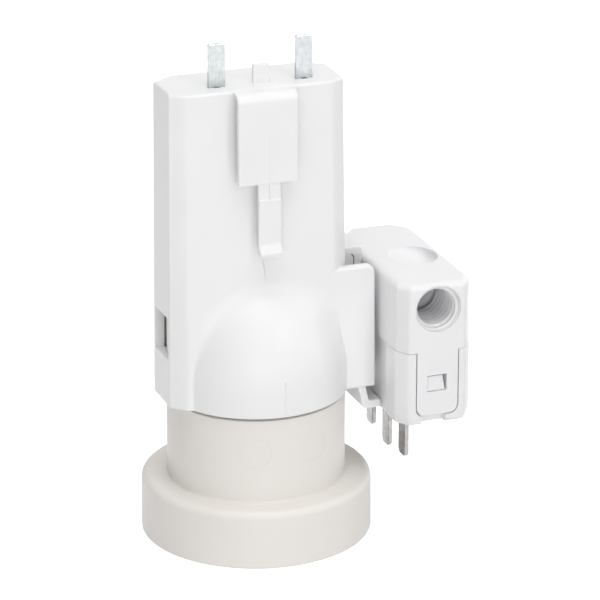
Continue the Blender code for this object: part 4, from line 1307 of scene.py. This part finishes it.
    def parting_lines(self) -> list[Form]:
        """Makes the hair-thin raised lines that the mould leaves on the latch, the dome and the front.

        Returns:
            The forms.
        """
        plate, rim = self.front - self.latch_out, self.rim
        face = self.front_at(62.0) - self.crown
        flow = [(-1.6, 66.2), (-1.42, 66.2), (-0.78, 62.0), (-0.05, 57.9), (-0.2, 57.9), (-0.95, 62.0)]
        return [
            block((-0.84, plate - 0.045, self.ridge - 1.5), (-0.68, plate + 0.3, 95.5), 0.03),
            block((-0.33, -self.dome - 0.04, rim + 0.6), (-0.15, -self.dome + 0.5, rim + 8.2), 0.03),
            slab(Outline.even(flow, 0.0), Facing.FRONT, (face - 0.09, face + 0.6)),
        ]

    def blade_ways(self) -> list[Form]:
        """Makes the cutters of the slots in the top through which the blades stand.

        Returns:
            The cutters.
        """
        ways = []
        y, low, high = self.blade_y, self.top - self.wall - OVERCUT, self.top + OVERCUT
        for x in (-self.blade_pitch / 2, self.blade_pitch / 2):
            ways.append(block((x - 2.0, y - 0.55, low), (x + 2.0, y + 0.55, high), 0.1))
            ways.append(block((x - 0.75, y - 0.95, self.top - 0.9), (x + 0.6, y, high), 0.1))
        return ways

    def build(self) -> list[Object]:
        """Builds the housing, all one moulding.

        Returns:
            The piece.
        """
        housing = Moulding("housing_moulding", self.skin())
        housing.join(self.wing(), *self.clip(), self.latch_plate(), self.latch_tongue())
        (left, right), y = self.key, self.blade_y
        key_top = self.top + self.key_height
        housing.join(block((left, y - 0.55, self.top - 1), (right, y + 0.55, key_top), 0.3))
        (front, back), (low, high) = self.window
        window = block((-30, front, low), (-15, back, high))
        notch = block((-20, front, self.rim - OVERCUT), (-15, back, self.rim + self.notch_height))
        housing.cut(*self.inside())
        housing.cut(window, notch, self.jaw_slit(), *self.blade_ways())
        housing.join(*self.parting_lines())
        return [finished("housing_moulding", housing.form(), self.finishes.white, ["housing"])]


@dataclass
class Blades:
    """The two blades that plug into the ceiling connector."""

    pitch: float = 20.0
    y: float = -3.85
    width: float = 3.8
    thick: float = 0.9
    tip: float = 115.0
    bevel: Pair = (0.32, 1.1)
    shoulder: float = 103.0
    shoulder_half: float = 3.2
    tail: float = 86.0
    tail_half: float = 1.5
    finishes: Finishes = field(kw_only=True)

    def blade(self, x: float) -> Form:
        """Makes a blade with its bevelled tip and the shoulders and tail inside the housing.

        Args:
            x: The blade's middle.

        Returns:
            The form.
        """
        high, tip, face = self.shoulder, self.tip, self.thick / 2
        low, half = high - 4, self.width / 2
        right = (
            (self.tail_half, self.tail, 0.3), (self.tail_half, low, 0.1), (self.shoulder_half, low, 0.3),
            (self.shoulder_half, high, 0.2), (half, high, 0.1), (half, tip, 0.45),
        )
        corners = [(x + across, z, rounding) for across, z, rounding in right]
        corners += [(x - across, z, rounding) for across, z, rounding in reversed(right)]
        form = slab(Outline(tuple(corners), 5), Facing.FRONT, (self.y - face, self.y + face), 0.1)
        blade = Moulding(f"blade_{x:.0f}", form)
        cut, length = self.bevel
        for side in (-1, 1):
            near, far = self.y + side * (face - cut), self.y + side * (face + 0.4)
            wedge = [(near, tip + 0.2), (far, tip + 0.2), (far, tip - length)]
            blade.cut(slab(Outline.even(wedge[::side], 0.0), Facing.SIDE, (x - 3, x + 3)))
        return blade.form()

    def build(self) -> list[Object]:
        """Builds the two blades.

        Returns:
            The pieces.
        """
        made = []
        plating = self.finishes.plating
        for name, x in (("live", self.pitch / 2), ("neutral", -self.pitch / 2)):
            made.append(finished(f"{name}_blade_strip", self.blade(x), plating, [f"{name}_blade"]))
        return made


@dataclass
class SparePlug:
    """The spare plug: its cover with a threaded cord entry, its base and its three pins."""

    middle: float = 34.8
    half: float = 8.7
    front: float = -22.3
    back: float = 19.7
    bottom: float = 27.8
    split: float = 45.0
    top: float = 60.8
    front_cut: Pair = (2.1, 3.4)
    back_cut: Pair = (3.8, 4.3)
    corner_round: float = 1.5
    top_round: float = 1.6
    cover_wall: float = 1.8
    roof: float = 3.0
    proud: float = 0.25
    tongue_half: float = 4.85
    tongue_low: float = 30.0
    tongue_round: float = 2.0
    tongue_slack: float = 0.3
    cord_height: float = 54.9
    cord: float = 4.95
    boss: float = 6.4
    boss_length: float = 13.0
    stop_half: float = 7.4
    stop_gap: float = 0.9
    stop_thick: float = 1.2
    thread_pitch: float = 1.55
    thread_depth: float = 0.75
    split_gap: float = 0.08
    tongue_gap: float = 0.24
    catch_gap: float = 0.1
    dish_place: Triple = (35.6, -3.2, 61.5)
    dish_size: Triple = (6.6, 6.3, 2.9)
    dish_tilt: float = 17.0
    catch_left: float = 32.4
    catch_width: float = 4.6
    catch_low: float = 35.5
    catch_high: float = 39.4
    tray_wall: float = 2.3
    panel: Pair = (8.5, 6.9)
    bay_walls: Pair = (-6.8, 3.2)
    pin_x: float = 31.1
    pin_row: Triple = (-11.8, -1.8, 8.2)
    pin_lengths: Triple = (11.0, 12.3, 11.0)
    finishes: Finishes = field(kw_only=True)

    def outline(self, wider: float = 0.0) -> Outline:
        """The plug's plan, a long rectangle with its corners cut and the cuts softened.

        Args:
            wider: How much wider it is on both sides.

        Returns:
            The outline.
        """
        half = self.half + wider
        front_flat, back_flat = self.half - self.front_cut[0], self.half - self.back_cut[0]
        side_front, side_back = self.front + self.front_cut[1], self.back - self.back_cut[1]
        corners = (
            (-half, side_front), (-front_flat, self.front), (front_flat, self.front), (half, side_front),
            (half, side_back), (back_flat, self.back), (-back_flat, self.back), (-half, side_back),
        )
        return Outline.even([(self.middle + x, y) for x, y in corners], self.corner_round, 6)

    def stacked(self, levels: Sequence[Pair], wider: float = 0.0) -> Form:
        """A solid through the plug's plan at levels with insets."""
        outline = self.outline(wider)
        return lofted([[Vector((x, y, level)) for x, y in outline.points(inset)] for level, inset in levels])

    def end_span(self, side: int, inner: float, outer: float) -> Pair:
        """The span of two depths under the face of the front (-1) or the back (1) end."""
        face = self.front if side < 0 else self.back
        return tuple(sorted((face - side * inner, face - side * outer)))

    def tongue(self, extra: float, high: float) -> Outline:
        """The tongue that hangs from each end of the cover.

        Args:
            extra: How much larger it is all round.
            high: Where it ends above.

        Returns:
            The outline.
        """
        left, right = self.middle - self.tongue_half - extra, self.middle + self.tongue_half + extra
        low, rounding = self.tongue_low - extra, self.tongue_round
        corners = ((left, low, rounding), (right, low, rounding), (right, high, 0.0), (left, high, 0.0))
        return Outline(corners, 8)

    def across(self, half: float, span: Pair, levels: Pair, rounding: float = 0.0) -> Form:
        """A block as far to both sides of the plug's middle, within a span of depths and two levels."""
        low, high = zip(span, levels)
        return block((self.middle - half, *low), (self.middle + half, *high), rounding)

    def below_split(self) -> Form:
        """Makes the cutter of all that is below the cover's edge, apart from the tongues.

        Returns:
            The cutter.
        """
        ends = (self.front - 2, self.back + 2)
        below = Moulding("below_split", self.across(self.half * 2, ends, (20, self.split)))
        for side in (-1, 1):
            tongue = self.tongue(0.0, self.split + OVERCUT)
            below.cut(slab(tongue, Facing.FRONT, self.end_span(side, -3.0, 5.0)))
        return below.form()

    def hollow(self) -> Form:
        """Makes the cutter of the room in the cover, around the boss of the cord entry.

        Returns:
            The cutter.
        """
        levels = [(self.tongue_low - OVERCUT, self.cover_wall), (self.top - self.roof, self.cover_wall)]
        hollow = Moulding("cover_inside", self.stacked(levels))
        boss = laid_forward(cylinder(self.boss, (0.0, self.boss_length + OVERCUT), 72))
        hollow.cut(shifted(boss, self.middle, self.front + self.boss_length, self.cord_height))
        return hollow.form()

    def cord_mouth(self) -> Form:
        """Makes the cutter of the cord entry, with a fine ring round its mouth.

        Returns:
            The cutter.
        """
        cord, deep = self.cord, -self.boss_length - OVERCUT
        profile = rounded_profile([
            (0.0, 1.0, 0.0), (cord + 0.4, 1.0, 0.0), (cord + 0.36, -0.32, 0.04), (cord + 0.26, -0.32, 0.0),
            (cord + 0.22, -0.04, 0.04), (cord + 0.08, -0.35, 0.1), (cord, -1.0, 0.2), (cord, deep, 0.0),
            (0.0, deep, 0.0),
        ])
        return shifted(laid_forward(turned(profile, 96)), self.middle, self.front, self.cord_height)

    def dish(self) -> Form:
        """Makes the cutter of the shallow thumb dish in the cover's top.

        Returns:
            The cutter.
        """
        form = bmesh.new()
        bmesh.ops.create_uvsphere(form, u_segments=96, v_segments=48, radius=1.0)
        bmesh.ops.scale(form, vec=self.dish_size, verts=form.verts)
        tilt = Matrix.Rotation(math.radians(self.dish_tilt), 3, "Y")
        bmesh.ops.rotate(form, cent=(0, 0, 0), matrix=tilt, verts=form.verts)
        return shifted(form, *self.dish_place)

    def cover(self) -> Object:
        """Builds the cover with its tongues, cord entry, catch windows and thumb dish.

        Returns:
            The piece.
        """
        name = "plug_cover_moulding"
        cover = Moulding(name, self.stacked(edge_levels(self.tongue_low, self.top, 0.0, self.top_round, 9)))
        cover.cut(self.below_split())
        cover.cut(self.hollow())
        ends = (self.front + self.cover_wall, self.back - self.cover_wall)
        cover.cut(self.across(self.tongue_half + self.tongue_slack, ends, (20, self.split)))
        stop = self.front + self.boss_length + self.stop_gap
        levels = (self.cord_height - 6, self.top - self.roof + 0.5)
        cover.join(self.across(self.stop_half, (stop, stop + self.stop_thick), levels))
        low, high = (self.catch_left, self.catch_low), (self.catch_left + self.catch_width, self.catch_high)
        window = Outline.box(low, high, 0.12, 3)
        spans = [self.end_span(side, -OVERCUT, self.cover_wall + OVERCUT) for side in (-1, 1)]
        cover.cut(self.cord_mouth(), self.dish(), *(slab(window, Facing.FRONT, span) for span in spans))
        return finished(name, cover.form(), self.finishes.plug_white, ["plug_cover"])

    def cord_thread(self) -> Object:
        """Builds the thread in the cord entry.

        Returns:
            The piece.
        """
        thread = RolledThread(
            crest=self.cord + 0.06, depth=self.thread_depth, pitch=self.thread_pitch,
            span=(0.35, self.boss_length - 0.1), wall=0.25, run_out=0.6, sharpness=2.2,
            turn_steps=96, rows_per_pitch=16,
        )
        form = thread.build(self.finishes.plug_white)
        bmesh.ops.scale(form, vec=(1, 1, -1), verts=form.verts)
        bmesh.ops.reverse_faces(form, faces=form.faces)
        shifted(laid_forward(form), self.middle, self.front, self.cord_height)
        return finished("cord_entry_thread", form, self.finishes.plug_white, [])

    def end_cuts(self, side: int, high: float) -> list[Form]:
        """Makes the cutters at one end of the base and of the panel sunk into one of its sides.

        Args:
            side: The end and the side, -1 or 1.
            high: The base's upper edge.

        Returns:
            The cutters.
        """
        under = self.bottom - OVERCUT
        near, far = self.end_span(side, -OVERCUT, self.cover_wall + GAP)
        step_near, step_far = self.end_span(side, -OVERCUT, 0.6)
        face = self.middle + side * (self.half + self.proud)
        low_x, high_x = sorted((face + side, face - side * 0.8))
        front, back = self.front + self.panel[0], self.back - self.panel[1]
        right = self.middle + self.tongue_half
        return [
            slab(self.tongue(self.tongue_gap, high + OVERCUT), Facing.FRONT, (near, far)),
            block((self.middle - 3.6, near, under), (self.middle + 2.1, far, self.tongue_low)),
            block((self.middle + 1.8, step_near, under), (right, step_far, self.bottom + 0.6)),
            block((low_x, front, under), (high_x, back, high + OVERCUT)),
        ]

    def snap_catch(self, side: int) -> Form:
        """Makes the snap catch that shows in the cover's window at one end.

        Args:
            side: The front (-1) or the back (1) end.

        Returns:
            The form.
        """
        left, right = self.catch_left + self.catch_gap, self.catch_left + self.catch_width - GAP
        low, high = self.catch_low + self.catch_gap, self.catch_high - GAP
        outline = Outline.even([(left, low), (right, low), (right - 0.6, high), (left, high)], 0.1, 3)
        return slab(outline, Facing.FRONT, self.end_span(side, GAP, self.cover_wall + 2 * GAP), 0.1)

    def base(self) -> Object:
        """Builds the base: a tray with channels for the tongues, snap catches, bays and the pins' slots.

        Returns:
            The piece.
        """
        name = "plug_base_moulding"
        low, high = self.bottom, self.split - self.split_gap
        foot = [(low, 0.75), (low + 0.1, 0.52), (low + 0.4, 0.33), (low + 2.4, 0.0)]
        base = Moulding(name, self.stacked([*foot, (high - 0.12, 0.0), (high, 0.1)], self.proud))
        inner, wall = self.half - self.tray_wall, self.cover_wall + GAP + 1.4
        base.cut(self.across(inner, (self.front + wall, self.back - wall), (low + 3, high + OVERCUT)))
        base.cut(*(form for side in (-1, 1) for form in self.end_cuts(side, high)))
        bays = [self.across(inner + GAP, (y - 0.6, y + 0.6), (low + 2.7, low + 13)) for y in self.bay_walls]
        base.join(self.snap_catch(-1), self.snap_catch(1), *bays)
        left, right = self.pin_x - 0.8, self.pin_x + 0.8
        base.cut(*(block((left, y - 2.3, low - OVERCUT), (right, y + 2.3, low + 4)) for y in self.pin_row))
        return finished(name, base.form(), self.finishes.plug_white, ["plug_base"])

    def pins(self) -> list[Object]:
        """Builds the three flat pins. The earth pin in the middle is longer.

        Returns:
            The pieces.
        """
        made = []
        for name, y, length in zip(("live", "earth", "neutral"), self.pin_row, self.pin_lengths):
            low, high = self.bottom - length, self.bottom + 7.2
            corners = (
                (y - 1.2, low, 0.2), (y + 1.2, low, 0.2), (y + 2, low + 0.8, 0.3), (y + 2, high, 0.1),
                (y - 2, high, 0.1), (y - 2, low + 0.8, 0.3),
            )
            form = slab(Outline(corners, 4), Facing.SIDE, (self.pin_x - 0.5, self.pin_x + 0.5), 0.14)
            plating = self.finishes.pin_plating
            made.append(finished(f"{name}_pin_strip", form, plating, [f"plug_{name}_pin"]))
        return made

    def build(self) -> list[Object]:
        """Builds the plug's pieces."""
        return [self.cover(), self.cord_thread(), self.base(), *self.pins()]


@dataclass
class Inside:
    """The solids that stay as they are, inside the housing and the plug, with their finishes."""

    finishes: Finishes = field(kw_only=True)

    def dress(self) -> None:
        """Gives each its material."""
        finishes = self.finishes
        stay = {
            "blade_carrier": finishes.white,
            "centre_contact": finishes.plating,
            "side_contact": finishes.plating,
            "centre_contact_rivet": finishes.brass,
            "side_contact_rivet": finishes.brass,
            "live_wire": finishes.brown,
            "neutral_wire": finishes.blue,
        }
        for name in ("live", "earth", "neutral"):
            stay[f"plug_{name}_terminal"] = finishes.brass
            stay[f"plug_{name}_screw"] = finishes.steel
        for name, material in stay.items():
            mesh = frame["nodes"][name].data
            mesh.materials.clear()
            mesh.materials.append(material)
            LOG.info("%s: carried over", name)


def direction(around: float, up: float) -> Vector:
    """The direction at these angles, in degrees: around from the front towards the right, and up."""
    turn, rise = math.radians(around), math.radians(up)
    return Vector((math.sin(turn) * math.cos(rise), -math.cos(turn) * math.cos(rise), math.sin(rise)))


def seen_in(nodes: Nodes) -> tuple[Number, Number]:
    """Tells what the camera sees straight from what it sees in or through a surface.

    Args:
        nodes: A shader's tree.

    Returns:
        Whether a ray is the camera's, and whether it is a mirrored or transmitted one.
    """
    path = nodes.add("ShaderNodeLightPath")
    kinds = ("Is Camera Ray", "Is Glossy Ray", "Is Transmission Ray")
    camera, glossy, through = (Number(nodes, path[kind]) for kind in kinds)
    return camera, glossy.math("MAXIMUM", through)


@dataclass(frozen=True)
class Lamp:
    """A soft lamp of the studio, aimed at the object."""

    name: str
    towards: Pair
    distance: float
    size: Pair
    power: float

    def build(self, target: Vector) -> None:
        """Hangs the lamp.

        Args:
            target: The point at which it aims.
        """
        data = bpy.data.lights.new(self.name, "AREA")
        data.shape = "RECTANGLE"
        data.size, data.size_y = self.size
        data.energy = self.power
        lamp = bpy.data.objects.new(self.name, data)
        way = direction(*self.towards)
        lamp.location = target + way * self.distance
        lamp.rotation_euler = way.to_track_quat("Z", "Y").to_euler()
        lamp.visible_camera = False
        bpy.context.scene.collection.objects.link(lamp)


@dataclass(frozen=True)
class Glow:
    """A broad soft light in the studio's surroundings, strongest in one direction."""

    towards: Pair
    tightness: float
    strength: float

    def strength_in(self, nodes: Nodes, way: NodeSocket) -> Number:
        """How strongly it shines from each direction.

        Args:
            nodes: The world's tree.
            way: The direction that is looked up.

        Returns:
            The strength.
        """
        ways = {0: way, 1: direction(*self.towards)}
        facing = Number(nodes, nodes.add("ShaderNodeVectorMath", ways, operation="DOT_PRODUCT")["Value"])
        return facing.math("MAXIMUM", 0.0).math("POWER", self.tightness) * self.strength


@dataclass
class Studio:
    """The white room: floor, world, lamps and camera."""

    camera_place: Triple = (-0.251795, -0.68979, 0.32625)
    turn: float = 19.4
    tilt: float = 20.35
    lens: float = 210.9
    sensor: float = 36.0
    # The share of the camera's distance by which it looks past the fitted axis, to the right and down.
    aside: float = 44.8 / 3515
    down: float = 5.7 / 3515
    floor_reach: float = 3.0
    floor_grey: float = 0.82
    floor_glow: float = 0.8
    lit_from: tuple[Glow, ...] = (
        Glow((0.0, 90.0), 4.0, 1.95),
        Glow((-15.0, -60.0), 2.0, 10.5),
    )
    mirror: Pair = (0.45, 1.0)
    mirror_edge: Pair = (-0.95, -0.35)
    mirrored_from: tuple[Glow, ...] = (Glow((90.0, 10.0), 2.0, 1.6),)
    lamps: tuple[Lamp, ...] = (
        Lamp("key", (22.0, 31.0), 1.3, (0.2, 0.2), 1.6),
        Lamp("low_front", (-14.0, 6.0), 1.3, (0.7, 0.3), 2.1),
        Lamp("soft", (-40.0, 30.0), 1.3, (0.8, 0.8), 0.2),
        Lamp("overhead", (-15.0, 75.0), 1.2, (0.7, 0.7), 3.2),
    )

    def camera(self) -> None:
        """Sets the camera at the photograph's angle."""
        ahead = -direction(-self.turn, self.tilt)
        right = Vector((math.cos(math.radians(self.turn)), -math.sin(math.radians(self.turn)), 0.0))
        way = ahead + right * self.aside - right.cross(ahead) * self.down
        data = bpy.data.cameras.new("camera")
        data.lens = self.lens
        data.sensor_width = self.sensor
        camera = bpy.data.objects.new("camera", data)
        camera.location = self.camera_place
        camera.rotation_euler = way.to_track_quat("-Z", "Y").to_euler()
        bpy.context.scene.collection.objects.link(camera)
        bpy.context.scene.camera = camera

    def floor(self) -> None:
        """Lays the pale floor, which the camera sees as white with the object's faint shadow on it."""
        form = bmesh.new()
        bmesh.ops.create_grid(form, x_segments=1, y_segments=1, size=self.floor_reach)
        mesh = mesh_of(form, "floor")
        material = bpy.data.materials.new("floor")
        material.use_nodes = True
        tree = material.node_tree
        tree.nodes.remove(tree.nodes["Principled BSDF"])
        nodes = Nodes(tree)
        camera, mirrored = seen_in(nodes)
        diffuse = nodes.add("ShaderNodeBsdfDiffuse", {"Color": (*[self.floor_grey] * 3, 1.0)})[0]
        strength = camera.math("MAXIMUM", mirrored) * self.floor_glow
        glow = nodes.add("ShaderNodeEmission", {"Strength": strength})[0]
        lit = nodes.add("ShaderNodeAddShader", {0: diffuse, 1: glow})[0]
        clear = nodes.add("ShaderNodeBsdfTransparent")[0]
        below = nodes.add("ShaderNodeNewGeometry")["Backfacing"]
        sides = nodes.add("ShaderNodeMixShader", {0: below, 1: lit, 2: clear})[0]
        nodes.feed(tree.nodes["Material Output"].inputs["Surface"], sides)
        mesh.materials.append(material)
        floor = bpy.data.objects.new("floor", mesh)
        bpy.context.scene.collection.objects.link(floor)

    def world(self) -> None:
        """Surrounds the object with light, mirrored more weakly on the left and white to the camera."""
        world = bpy.data.worlds.new("studio")
        bpy.context.scene.world = world
        world.use_nodes = True
        nodes = Nodes(world.node_tree)
        way = nodes.add("ShaderNodeTexCoord")["Generated"]
        aside = Number(nodes, nodes.add("ShaderNodeSeparateXYZ", {0: way})["X"])
        fill = functools.reduce(operator.add, [glow.strength_in(nodes, way) for glow in self.lit_from])
        mirrored = [aside.mapped(*self.mirror_edge, *self.mirror)]
        mirrored += [glow.strength_in(nodes, way) for glow in self.mirrored_from]
        mirror = functools.reduce(operator.add, mirrored)
        camera, glossy = seen_in(nodes)
        strength = fill + (mirror - fill) * glossy
        strength = strength + (strength * -1.0 + 1.0) * camera
        back = nodes.tree.nodes["Background"]
        nodes.feed(back.inputs["Color"], (1.0, 1.0, 1.0, 1.0))
        nodes.feed(back.inputs["Strength"], strength)

    def build(self) -> None:
        """Sets up the whole studio."""
        low, high = CAD_BOX
        target = (Vector(low) + Vector(high)) / 2
        self.camera()
        self.floor()
        self.world()
        for lamp in self.lamps:
            lamp.build(target)
        bpy.context.scene.view_settings.view_transform = "Standard"


def main() -> None:
    """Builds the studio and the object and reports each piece."""
    logging.basicConfig(level=logging.INFO, format="%(name)s: %(message)s")
    Studio().build()
    finishes = Finishes()
    assemblies: tuple[Callable[[], list[Object]], ...] = (
        LampSocket(finishes=finishes).build,
        Housing(finishes=finishes).build,
        Blades(finishes=finishes).build,
        SparePlug(finishes=finishes).build,
    )
    for build in assemblies:
        for piece in build():
            LOG.info("%s is in place", piece.name)
    Inside(finishes=finishes).dress()


if __name__ == "__main__":
    main()
